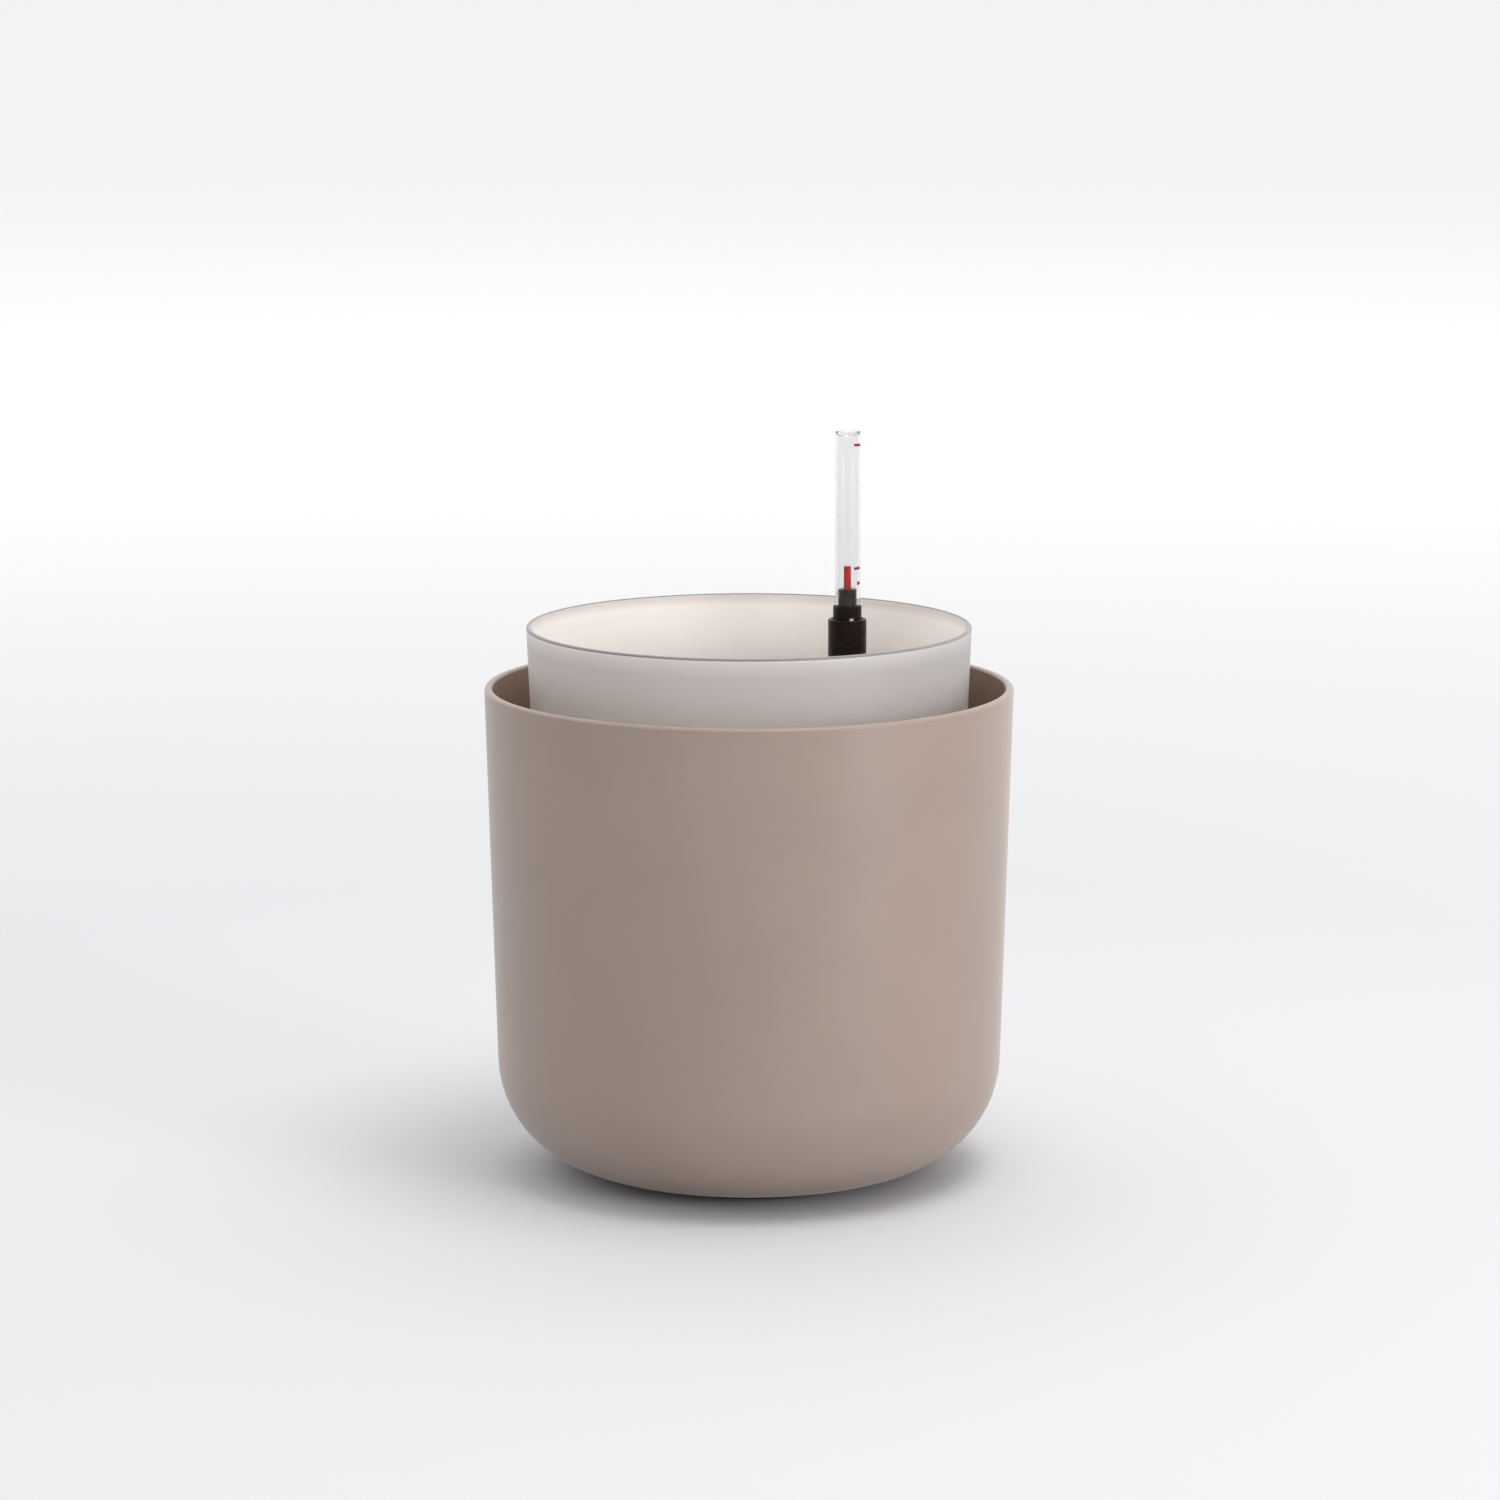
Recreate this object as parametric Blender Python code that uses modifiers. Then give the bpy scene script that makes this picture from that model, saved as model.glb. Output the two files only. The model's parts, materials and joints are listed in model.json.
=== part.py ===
"""Self-watering planter: a round decorative pot that holds the water, a lift-out inner pot on
three wick legs, and a float gauge that stands in the inner pot and shows the water level.

Frame: metres, +Z up, origin on the floor at the centre of the base, front of the planter at -Y.
"""

import math

import bmesh
import bpy
from mathutils import Matrix, Vector

GAP = 0.0003  # clearance between pieces that touch on the real planter
OVERCUT = 0.0030  # how far a cutter reaches past the wall that it cuts

# Decorative outer pot, which is also the water tank
POT_RADIUS = 0.110
POT_HEIGHT = 0.2047
POT_TAPER = math.radians(1.61)
POT_WALL = 0.0030
POT_RIM_WALL = 0.0034
POT_FILLET = 0.0454
POT_BASE_Z = 0.0025
POT_FLOOR_Z = POT_BASE_Z + POT_WALL
POT_STEPS = 48
POT_RIM_ROUND = 0.0014
POT_INNER_RIM_ROUND = 0.00098

# Drain plug, in a raised boss in the middle of the tank's floor
DRAIN_BOSS_RADIUS = 0.018
DRAIN_BOSS_RISE = 0.0025
DRAIN_HOLE_RADIUS = 0.0062
PLUG_STEPS = 36
PLUG_RADIUS = 0.0120
PLUG_HEAD = 0.0024
PLUG_REACH = 0.0040
PLUG_EDGE = 0.0005
PLUG_LEAD_IN = 0.0008
COIN_SLOT = (0.0150, 0.0022, 0.0028)
SEAL_RADIUS = 0.0110
SEAL_THICKNESS = 0.0010

# Anti-slip ring, pressed into a groove under the pot
RING_INNER = 0.0520
RING_OUTER = 0.0594
RING_SEAT_DEPTH = 0.0012
RING_EDGE = 0.0006

# Inner pot
LINER_RADIUS = 0.0924
LINER_RIM_Z = 0.2299
LINER_TAPER = math.radians(2.4)
LINER_WALL = 0.0018
LINER_FLOOR_Z = 0.0780
LINER_FLOOR = 0.0022
LINER_FILLET = 0.0060
LINER_STEPS = 48
LINER_RIM_ROUND = 0.0007
DRAIN_RINGS = ((0.022, 6), (0.062, 12))
DRAIN_RADIUS = 0.0022
DRAIN_CLEARANCE = 0.0040

# Wick legs: hollow feet of the inner pot, each with a fibre wick in it
LEG_COUNT = 3
LEG_CIRCLE = 0.044
LEG_TOP_RADIUS = 0.0110
LEG_BOTTOM_RADIUS = 0.0090
LEG_WALL = 0.0016
LEG_LOW_Z = POT_FLOOR_Z + GAP
LEG_SLOT_WIDTH = 0.0024
LEG_SLOT_LOW = 0.014
LEG_SLOT_HIGH = 0.066
LEG_SLOT_REACH = 0.028
LEG_STEPS = 16
FOOT_HOLE_RADIUS = 0.0030
WICK_RADIUS = 0.0060
WICK_TOP_Z = 0.0980
WICK_EDGE = 0.0010
WICK_STEPS = 20

# Soil grid: loose perforated disc that keeps the soil off the drain holes
GRID_Z = 0.0870
GRID_THICKNESS = 0.0020
GRID_RADIUS = 0.0820
GRID_SKIRT_RADIUS = 0.0725
GRID_SKIRT_WALL = 0.0016
GRID_HOLE_RADIUS = 0.0034
GRID_HOLE_PITCH = 0.0205
GRID_HOLE_RINGS = 3
GRID_WICK_HOLE_RADIUS = WICK_RADIUS + 0.0008
GRID_WICK_CLEARANCE = 0.0055
GRID_GAUGE_CLEARANCE = 0.0065
GRID_NOTCH = (0.006, 0.022, 0.007)

# Water gauge, upright in the inner pot, behind and to the right of the middle
GAUGE_X = 0.0418
GAUGE_Y = 0.0520
GAUGE_ANGLE = math.atan2(GAUGE_Y, GAUGE_X)
GAUGE_STEPS = 24
BOSS_BORE = 0.0106
BOSS_RADIUS = 0.0122
BOSS_TOP_Z = 0.0920
BOSS_STEPS = 32
GRID_BAY_RADIUS = BOSS_RADIUS + 0.0014
GROMMET_LIP = 0.0010
HOUSING_RADIUS = 0.0082
HOUSING_BORE = 0.0067
HOUSING_LOW_Z = 0.0124
HOUSING_TOP_Z = 0.2246
HOUSING_FLANGE_RADIUS = 0.0110
HOUSING_FLANGE_Z = BOSS_TOP_Z + GROMMET_LIP + 2 * GAP
HOUSING_FLANGE = 0.0020
HOUSING_EDGE = 0.0005
HOUSING_SLOT = (0.024, 0.0024)
HOUSING_SLOT_LOW = 0.020
HOUSING_SLOT_HIGH = 0.062
HOUSING_LEDGE_BORE = 0.0056
HOUSING_LEDGE_HEIGHT = 0.0020
STRAINER_LOW_Z = 0.0095
STRAINER_SPIGOT = 0.0016
STRAINER_EDGE = 0.0006
STRAINER_HOLE_CIRCLE = 0.0038
STRAINER_HOLE_RADIUS = 0.0011
COLLAR_RADIUS = 0.0061
COLLAR_TOP_Z = 0.2303
COLLAR_LOW_Z = 0.2150
COLLAR_LEDGE_Z = COLLAR_LOW_Z + 0.0020
COLLAR_EDGE = 0.0004
BAYONET_Z = 0.2188
BAYONET_TWIST = math.radians(60)
LUG_RADIUS = 0.0073
LUG_WIDTH = 0.0024
LUG_HEIGHT = 0.0020
LUG_ROOT_RADIUS = HOUSING_BORE - 0.0014
TUBE_RADIUS = 0.0053
TUBE_BORE = 0.00425
TUBE_LOW_Z = 0.2200
GAUGE_TOP_Z = 0.3050
TUBE_CAP_THICKNESS = 0.0010
TUBE_CAP_SPIGOT = 0.0012
TUBE_CAP_EDGE = 0.0003
TUBE_EDGE = 0.0002
BUSH_RADIUS = 0.0039
BUSH_BORE = 0.00195
BUSH_TOP_Z = 0.2375
ROD_RADIUS = 0.0011
ROD_SPIGOT_RADIUS = 0.65 * ROD_RADIUS
ROD_LOW_Z = HOUSING_LOW_Z + STRAINER_SPIGOT
POINTER_RADIUS = 0.00155
POINTER_TOP_Z = 0.2472
POINTER_LOW_Z = 0.2334
POINTER_WALL = 0.0060
POINTER_EDGE = 0.0006
CLIP_RADIUS = 0.0030
CLIP_HEIGHT = 0.0015
FLOAT_RADIUS = 0.0061
FLOAT_LOW_Z = ROD_LOW_Z + CLIP_HEIGHT + GAP
FLOAT_LENGTH = 0.0340
FLOAT_EDGE = 0.0010


# ---------------------------------------------------------------- scene and materials


def clear_scene():
    for obj in list(bpy.data.objects):
        bpy.data.objects.remove(obj)


def new_collection(name):
    made = bpy.data.collections.new(name)
    bpy.context.scene.collection.children.link(made)
    return made


def plastic(name, colour, roughness, alpha=1.0):
    """A Principled material; an alpha below 1 stands for a see-through plastic."""
    made = bpy.data.materials.new(name)
    made.use_nodes = True
    shader = made.node_tree.nodes["Principled BSDF"]
    shader.inputs["Base Color"].default_value = (*colour, 1.0)
    shader.inputs["Roughness"].default_value = roughness
    shader.inputs["Metallic"].default_value = 0.0
    shader.inputs["Alpha"].default_value = alpha
    return made


def new_empty(name, place, parent=None):
    """A joint frame: moving pieces hang under it, and it stands on the joint's axis."""
    empty = bpy.data.objects.new(name, None)
    PARTS.objects.link(empty)
    empty.empty_display_size = 0.02
    empty.location = place
    empty.parent = parent
    return empty


def finish(obj, material, parent=None, collection=None):
    (collection or PARTS).objects.link(obj)
    if material:
        obj.data.materials.append(material)
    obj.parent = parent
    return obj


# ---------------------------------------------------------------- shapes


def arc(centre, radius, start_deg, end_deg, count):
    """Points (r, z) on a circle, from one angle to the other; 0 points outwards and 90 up."""
    angles = [start_deg + (end_deg - start_deg) * i / (count - 1) for i in range(count)]
    return [
        (
            centre[0] + radius * math.cos(math.radians(a)),
            centre[1] + radius * math.sin(math.radians(a)),
        )
        for a in angles
    ]


def turned(name, profile, steps, material, parent=None, collection=None):
    """A profile of (r, z) points turned about Z. It runs down the outer side; a profile that
    starts and ends off the axis is closed into a ring."""
    mesh = bpy.data.meshes.new(name)
    points = [(r, 0.0, z) for r, z in profile]
    edges = [(i, i + 1) for i in range(len(points) - 1)]
    if profile[0][0] > 0.0:
        edges.append((len(points) - 1, 0))
    mesh.from_pydata(points, edges, [])
    obj = finish(bpy.data.objects.new(name, mesh), material, parent, collection)
    screw = obj.modifiers.new("turn", "SCREW")
    screw.axis = "Z"
    screw.steps = steps
    screw.render_steps = steps
    screw.use_merge_vertices = True
    screw.merge_threshold = 0.00001
    screw.use_smooth_shade = True
    return obj


def tube_profile(outer, bore, low, high, chamfer=0.0004):
    """A plain tube with its outer edges broken."""
    return [
        (outer - chamfer, high),
        (outer, high - chamfer),
        (outer, low + chamfer),
        (outer - chamfer, low),
        (bore, low),
        (bore, high),
    ]


def cutter(name, build):
    """A helper mesh for Booleans: build fills its bmesh with closed shapes."""
    mesh = bpy.data.meshes.new(name)
    work = bmesh.new()
    build(work)
    work.to_mesh(mesh)
    work.free()
    return as_cutter(finish(bpy.data.objects.new(name, mesh), None, None, CUTTERS))


def as_cutter(obj):
    obj.hide_render = True
    obj.display_type = "WIRE"
    return obj


def add_cone(work, place, low_radius, high_radius, low, high, segments):
    """A closed cone or cylinder on a vertical axis through place (x, y)."""
    middle = Vector((place[0], place[1], (low + high) / 2))
    bmesh.ops.create_cone(
        work,
        cap_ends=True,
        segments=segments,
        radius1=low_radius,
        radius2=high_radius,
        depth=high - low,
        matrix=Matrix.Translation(middle),
    )


def add_box(work, centre, size, turn=0.0):
    """A closed box, turned about Z through its centre."""
    place = Matrix.Translation(centre) @ Matrix.Rotation(turn, 4, "Z")
    bmesh.ops.create_cube(work, size=1.0, matrix=place @ Matrix.Diagonal((*size, 1.0)))


def boolean(obj, other, operation):
    """An exact Boolean. The shapes inside one cutter stay clear of each other."""
    step = obj.modifiers.new(operation.lower(), "BOOLEAN")
    step.operation = operation
    step.solver = "EXACT"
    step.object = other


def polar(radius, angle):
    return (radius * math.cos(angle), radius * math.sin(angle))


def leg_places():
    """The legs stand evenly round the middle, with the gauge halfway between two of them."""
    first = GAUGE_ANGLE + math.pi / LEG_COUNT
    return [polar(LEG_CIRCLE, first + 2 * math.pi * i / LEG_COUNT) for i in range(LEG_COUNT)]


# ---------------------------------------------------------------- outer pot


def make_outer_pot(material, parent):
    side = math.degrees(POT_TAPER)
    tangent_z = POT_BASE_Z + POT_FILLET * (1 - math.sin(POT_TAPER))
    tangent_r = POT_RADIUS - (POT_HEIGHT - tangent_z) * math.tan(POT_TAPER)
    flat_r = tangent_r - POT_FILLET * math.cos(POT_TAPER)
    outer_centre = (flat_r, POT_BASE_Z + POT_FILLET)
    rim_centre = (POT_RADIUS - POT_RIM_ROUND, POT_HEIGHT - POT_RIM_ROUND)
    inner_r = POT_RADIUS - POT_RIM_WALL
    inner_centre = (inner_r + POT_INNER_RIM_ROUND, POT_HEIGHT - POT_INNER_RIM_ROUND)
    groove_top = POT_BASE_Z + RING_SEAT_DEPTH
    boss_under = POT_BASE_Z + DRAIN_BOSS_RISE
    boss_top = POT_FLOOR_Z + DRAIN_BOSS_RISE
    profile = [
        *arc(rim_centre, POT_RIM_ROUND, 90, 0, 4),
        *arc(outer_centre, POT_FILLET, -side, -90, 8),
        (RING_OUTER + GAP, POT_BASE_Z),
        (RING_OUTER + GAP, groove_top),
        (RING_INNER - GAP, groove_top),
        (RING_INNER - GAP, POT_BASE_Z),
        (DRAIN_BOSS_RADIUS + DRAIN_BOSS_RISE, POT_BASE_Z),
        (DRAIN_BOSS_RADIUS, boss_under),
        (DRAIN_HOLE_RADIUS, boss_under),
        (DRAIN_HOLE_RADIUS, boss_top),
        (DRAIN_BOSS_RADIUS, boss_top),
        (DRAIN_BOSS_RADIUS + DRAIN_BOSS_RISE, POT_FLOOR_Z),
        *arc(outer_centre, POT_FILLET - POT_WALL, -90, -side, 7),
        *arc(inner_centre, POT_INNER_RIM_ROUND, 180, 90, 3),
    ]
    return turned("outer_pot", profile, POT_STEPS, material, parent)


def make_base_ring(material, parent):
    top = POT_BASE_Z + RING_SEAT_DEPTH - GAP
    profile = [
        (RING_OUTER, top),
        (RING_OUTER, RING_EDGE),
        (RING_OUTER - RING_EDGE, 0.0),
        (RING_INNER + RING_EDGE, 0.0),
        (RING_INNER, RING_EDGE),
        (RING_INNER, top),
    ]
    return turned("base_ring", profile, POT_STEPS, material, parent)


def make_drain_plug(material, seal_material, plug_parent, pot_parent):
    """Turn-out plug in the middle of the tank's floor, with a flat seal under its head."""
    seat = POT_BASE_Z + DRAIN_BOSS_RISE
    seal_top = seat - GAP
    seal_low = seal_top - SEAL_THICKNESS
    head_top = seal_low - GAP
    head_low = head_top - PLUG_HEAD
    shank = DRAIN_HOLE_RADIUS - GAP
    top = POT_FLOOR_Z + DRAIN_BOSS_RISE + PLUG_REACH
    plug = turned(
        "drain_plug",
        [
            (0.0, top),
            (shank - PLUG_LEAD_IN, top),
            (shank, top - PLUG_LEAD_IN),
            (shank, head_top),
            (PLUG_RADIUS - PLUG_EDGE, head_top),
            (PLUG_RADIUS, head_top - PLUG_EDGE),
            (PLUG_RADIUS, head_low + PLUG_EDGE),
            (PLUG_RADIUS - PLUG_EDGE, head_low),
            (0.0, head_low),
        ],
        PLUG_STEPS,
        material,
        plug_parent,
    )
    middle = Vector((0, 0, head_low))
    slot = cutter("coin_slot_cutter", lambda work: add_box(work, middle, COIN_SLOT))
    boolean(plug, slot, "DIFFERENCE")
    turned(
        "drain_seal",
        tube_profile(SEAL_RADIUS, DRAIN_HOLE_RADIUS + GAP, seal_low, seal_top, 0.0002),
        PLUG_STEPS,
        seal_material,
        pot_parent,
    )


# ---------------------------------------------------------------- inner pot


def liner_corner(offset, floor_z):
    """The rounding from wall to floor, from the wall down to the floor."""
    fillet = LINER_FILLET - offset
    drop = LINER_RIM_Z - (floor_z + fillet)
    tangent_r = LINER_RADIUS - offset - drop * math.tan(LINER_TAPER)
    return arc((tangent_r - fillet, floor_z + fillet), fillet, -math.degrees(LINER_TAPER), -90, 4)


def make_liner_shell(material, parent):
    """The cup of the inner pot, from the middle of its floor round over the rim and back."""
    edge = LINER_RIM_ROUND
    inside_r = LINER_RADIUS - LINER_WALL
    floor_top = LINER_FLOOR_Z + LINER_FLOOR
    profile = [
        (0.0, floor_top),
        *reversed(liner_corner(LINER_WALL, floor_top)),
        (inside_r, LINER_RIM_Z - edge / 2),
        (inside_r + edge / 2, LINER_RIM_Z),
        *arc((LINER_RADIUS - edge, LINER_RIM_Z - edge), edge, 90, 0, 3),
        *liner_corner(0.0, LINER_FLOOR_Z),
        (0.0, LINER_FLOOR_Z),
    ]
    return turned("inner_pot", profile, LINER_STEPS, material, parent)


def make_inner_pot(material, parent):
    places = leg_places()
    gauge = (GAUGE_X, GAUGE_Y)

    def legs_outside(work):
        top = LINER_FLOOR_Z + LINER_FLOOR / 2
        for place in places:
            add_cone(work, place, LEG_BOTTOM_RADIUS, LEG_TOP_RADIUS, LEG_LOW_Z, top, LEG_STEPS)

    def legs_inside(work):
        low, top = LEG_LOW_Z + LEG_WALL, LINER_FLOOR_Z + OVERCUT
        low_radius, top_radius = LEG_BOTTOM_RADIUS - LEG_WALL, LEG_TOP_RADIUS - LEG_WALL
        for place in places:
            add_cone(work, place, low_radius, top_radius, low, top, LEG_STEPS)

    def foot_holes(work):
        low, top = LEG_LOW_Z - OVERCUT, LEG_LOW_Z + OVERCUT
        for place in places:
            add_cone(work, place, FOOT_HOLE_RADIUS, FOOT_HOLE_RADIUS, low, top, 12)

    def leg_slots(turn):
        middle_z = (LEG_SLOT_LOW + LEG_SLOT_HIGH) / 2
        size = (LEG_SLOT_REACH, LEG_SLOT_WIDTH, LEG_SLOT_HIGH - LEG_SLOT_LOW)

        def build(work):
            for x, y in places:
                add_box(work, Vector((x, y, middle_z)), size, math.atan2(y, x) + turn)

        return build

    def drain_holes(work):
        low, high = LINER_FLOOR_Z - OVERCUT, LINER_FLOOR_Z + LINER_FLOOR + OVERCUT
        for radius, count in DRAIN_RINGS:
            for i in range(count):
                place = polar(radius, GAUGE_ANGLE + 2 * math.pi * (i + 0.5) / count)
                if math.dist(place, gauge) > BOSS_RADIUS + DRAIN_CLEARANCE:
                    add_cone(work, place, DRAIN_RADIUS, DRAIN_RADIUS, low, high, 6)

    def boss(work):
        low = LINER_FLOOR_Z + LINER_FLOOR / 4
        add_cone(work, gauge, BOSS_RADIUS, BOSS_RADIUS, low, BOSS_TOP_Z, BOSS_STEPS)

    def boss_bore(work):
        low, high = LINER_FLOOR_Z - OVERCUT, BOSS_TOP_Z + OVERCUT
        add_cone(work, gauge, BOSS_BORE, BOSS_BORE, low, high, BOSS_STEPS)

    pot = make_liner_shell(material, parent)
    for name, build, operation in (
        ("liner_legs_body", legs_outside, "UNION"),
        ("liner_boss_body", boss, "UNION"),
        ("liner_legs_cutter", legs_inside, "DIFFERENCE"),
        ("liner_feet_cutter", foot_holes, "DIFFERENCE"),
        ("liner_slots_cutter", leg_slots(0.0), "DIFFERENCE"),
        ("liner_cross_slots_cutter", leg_slots(math.pi / 2), "DIFFERENCE"),
        ("liner_boss_cutter", boss_bore, "DIFFERENCE"),
        ("liner_holes_cutter", drain_holes, "DIFFERENCE"),
    ):
        boolean(pot, cutter(name, build), operation)


def make_wicks(material, parent):
    """Bonded-fibre rods that stand in the legs and reach up into the soil."""
    low = LEG_LOW_Z + LEG_WALL + GAP
    edge = WICK_EDGE
    for number, (x, y) in enumerate(leg_places(), 1):
        wick = turned(
            f"wick_rod_{number}",
            [
                (0.0, WICK_TOP_Z),
                (WICK_RADIUS - edge, WICK_TOP_Z),
                (WICK_RADIUS, WICK_TOP_Z - edge),
                (WICK_RADIUS, low + edge),
                (WICK_RADIUS - edge, low),
                (0.0, low),
            ],
            WICK_STEPS,
            material,
            parent,
        )
        wick.location = (x, y, 0.0)


def make_soil_grid(material, parent):
    """Perforated disc on a notched skirt, with a bay for the gauge and a hole for each wick."""
    skirt_low = LINER_FLOOR_Z + LINER_FLOOR + GAP
    skirt_in = GRID_SKIRT_RADIUS - GRID_SKIRT_WALL
    top = GRID_Z + GRID_THICKNESS
    grid = turned(
        "soil_grid",
        [
            (0.0, top),
            (GRID_RADIUS, top),
            (GRID_RADIUS, GRID_Z),
            (GRID_SKIRT_RADIUS, GRID_Z),
            (GRID_SKIRT_RADIUS, skirt_low),
            (skirt_in, skirt_low),
            (skirt_in, GRID_Z),
            (0.0, GRID_Z),
        ],
        LINER_STEPS,
        material,
        parent,
    )
    places = leg_places()
    gauge = (GAUGE_X, GAUGE_Y)
    low, high = GRID_Z - OVERCUT, top + OVERCUT
    bay, bay_low = GRID_BAY_RADIUS, skirt_low - OVERCUT

    def openings(work):
        hole = GRID_WICK_HOLE_RADIUS
        for place in places:
            add_cone(work, place, hole, hole, low, high, WICK_STEPS)
        add_cone(work, gauge, bay, bay, bay_low, high, 28)

    def bay_mouth(work):
        """From the bay out to the rim, a little deeper and narrower than the bay itself."""
        x, y = polar(math.hypot(*gauge) + bay, GAUGE_ANGLE)
        deep = bay_low - GAP
        centre = Vector((x, y, (deep + high) / 2))
        size = (2 * bay - 0.012, 2 * bay - 0.004, high - deep)
        add_box(work, centre, size, GAUGE_ANGLE)

    def perforations(work):
        for ring in range(1, GRID_HOLE_RINGS + 1):
            radius = ring * GRID_HOLE_PITCH
            count = 6 * ring
            for i in range(count):
                place = polar(radius, GAUGE_ANGLE + 2 * math.pi * (i + 0.5) / count)
                to_wick = min(math.dist(place, p) for p in places) - WICK_RADIUS
                to_gauge = math.dist(place, gauge) - BOSS_RADIUS
                if to_wick > GRID_WICK_CLEARANCE and to_gauge > GRID_GAUGE_CLEARANCE:
                    add_cone(work, place, GRID_HOLE_RADIUS, GRID_HOLE_RADIUS, low, high, 8)

    def notches(work):
        for i in range(5):
            x, y = polar(GRID_SKIRT_RADIUS, GAUGE_ANGLE + 2 * math.pi * (i + 1) / 6)
            centre = Vector((x, y, skirt_low))
            add_box(work, centre, GRID_NOTCH, math.atan2(y, x))

    for name, build in (
        ("grid_openings_cutter", openings),
        ("grid_bay_cutter", bay_mouth),
        ("grid_holes_cutter", perforations),
        ("grid_notches_cutter", notches),
    ):
        boolean(grid, cutter(name, build), "DIFFERENCE")


# ---------------------------------------------------------------- water gauge


def make_gauge_grommet(material, parent):
    """Rubber sleeve in the inner pot's boss; the gauge's flange stands on its lip."""
    lip_low = BOSS_TOP_Z + GAP
    bore = HOUSING_RADIUS + GAP
    grommet = turned(
        "gauge_grommet",
        [
            (BOSS_RADIUS, lip_low + GROMMET_LIP),
            (BOSS_RADIUS, lip_low),
            (BOSS_BORE - GAP, lip_low),
            (BOSS_BORE - GAP, LINER_FLOOR_Z),
            (bore, LINER_FLOOR_Z),
            (bore, lip_low + GROMMET_LIP),
        ],
        GAUGE_STEPS,
        material,
        parent,
    )
    grommet.location = (GAUGE_X, GAUGE_Y, 0.0)


def make_gauge_housing(material, parent):
    """Long tube with water slots near its foot, a flange to stand on, and inside its top a
    ledge and two L-shaped channels for the bayonet of the sight glass."""
    edge = HOUSING_EDGE
    ledge_top = COLLAR_LOW_Z - GAP
    flange_top = HOUSING_FLANGE_Z + HOUSING_FLANGE
    housing = turned(
        "gauge_housing",
        [
            (HOUSING_RADIUS - edge, HOUSING_TOP_Z),
            (HOUSING_RADIUS, HOUSING_TOP_Z - edge),
            (HOUSING_RADIUS, flange_top),
            (HOUSING_FLANGE_RADIUS, flange_top),
            (HOUSING_FLANGE_RADIUS, HOUSING_FLANGE_Z),
            (HOUSING_RADIUS, HOUSING_FLANGE_Z),
            (HOUSING_RADIUS, HOUSING_LOW_Z),
            (HOUSING_BORE, HOUSING_LOW_Z),
            (HOUSING_BORE, ledge_top - HOUSING_LEDGE_HEIGHT),
            (HOUSING_LEDGE_BORE, ledge_top - HOUSING_LEDGE_HEIGHT),
            (HOUSING_LEDGE_BORE, ledge_top),
            (HOUSING_BORE, ledge_top),
            (HOUSING_BORE, HOUSING_TOP_Z),
        ],
        GAUGE_STEPS,
        material,
        parent,
    )

    def bar(size, low, high, turn):
        """A box through the gauge's axis, turned about it."""
        middle = Vector((GAUGE_X, GAUGE_Y, (low + high) / 2))
        return lambda work: add_box(work, middle, (*size, high - low), turn)

    low = BAYONET_Z - LUG_HEIGHT / 2 - GAP
    high = BAYONET_Z + LUG_HEIGHT / 2 + GAP
    reach = LUG_RADIUS + GAP
    run = turned(
        "bayonet_run_cutter",
        tube_profile(reach, HOUSING_LEDGE_BORE + GAP, low, high, 0.0002),
        GAUGE_STEPS,
        None,
        None,
        CUTTERS,
    )
    as_cutter(run).location = (GAUGE_X, GAUGE_Y, 0.0)
    half = BAYONET_TWIST / 2
    window = 2 * (LUG_RADIUS * math.sin(half) + LUG_WIDTH / 2 * math.cos(half) + GAP)
    window_bar = bar((3 * reach, window), low - OVERCUT, high + OVERCUT, half)
    boolean(run, cutter("bayonet_window_body", window_bar), "INTERSECT")
    entry_size = (2 * reach, LUG_WIDTH + 2 * GAP)
    slot_low, slot_high = HOUSING_SLOT_LOW, HOUSING_SLOT_HIGH
    for name, body in (
        ("housing_slots_cutter", bar(HOUSING_SLOT, slot_low, slot_high, math.pi / 4)),
        ("housing_cross_slots_cutter", bar(HOUSING_SLOT, slot_low, slot_high, 3 * math.pi / 4)),
        # it starts just above the foot of the runs, so that no two cuts share a plane
        ("bayonet_entry_cutter", bar(entry_size, low + 0.0001, HOUSING_TOP_Z + OVERCUT, BAYONET_TWIST)),
    ):
        boolean(housing, cutter(name, body), "DIFFERENCE")
    boolean(housing, run, "DIFFERENCE")


def make_strainer_cap(material, parent):
    low = STRAINER_LOW_Z
    rim_top = HOUSING_LOW_Z - GAP
    top = rim_top + STRAINER_SPIGOT
    spigot = HOUSING_BORE - GAP
    cap = turned(
        "strainer_cap",
        [
            (0.0, top),
            (spigot, top),
            (spigot, rim_top),
            (HOUSING_RADIUS, rim_top),
            (HOUSING_RADIUS, low + STRAINER_EDGE),
            (HOUSING_RADIUS - STRAINER_EDGE, low),
            (0.0, low),
        ],
        GAUGE_STEPS,
        material,
        parent,
    )

    def holes(work):
        for i in range(6):
            x, y = polar(STRAINER_HOLE_CIRCLE, math.pi * i / 3)
            place = (GAUGE_X + x, GAUGE_Y + y)
            radius = STRAINER_HOLE_RADIUS
            add_cone(work, place, radius, radius, low - OVERCUT, top + OVERCUT, 8)

    boolean(cap, cutter("strainer_cutter", holes), "DIFFERENCE")


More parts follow.
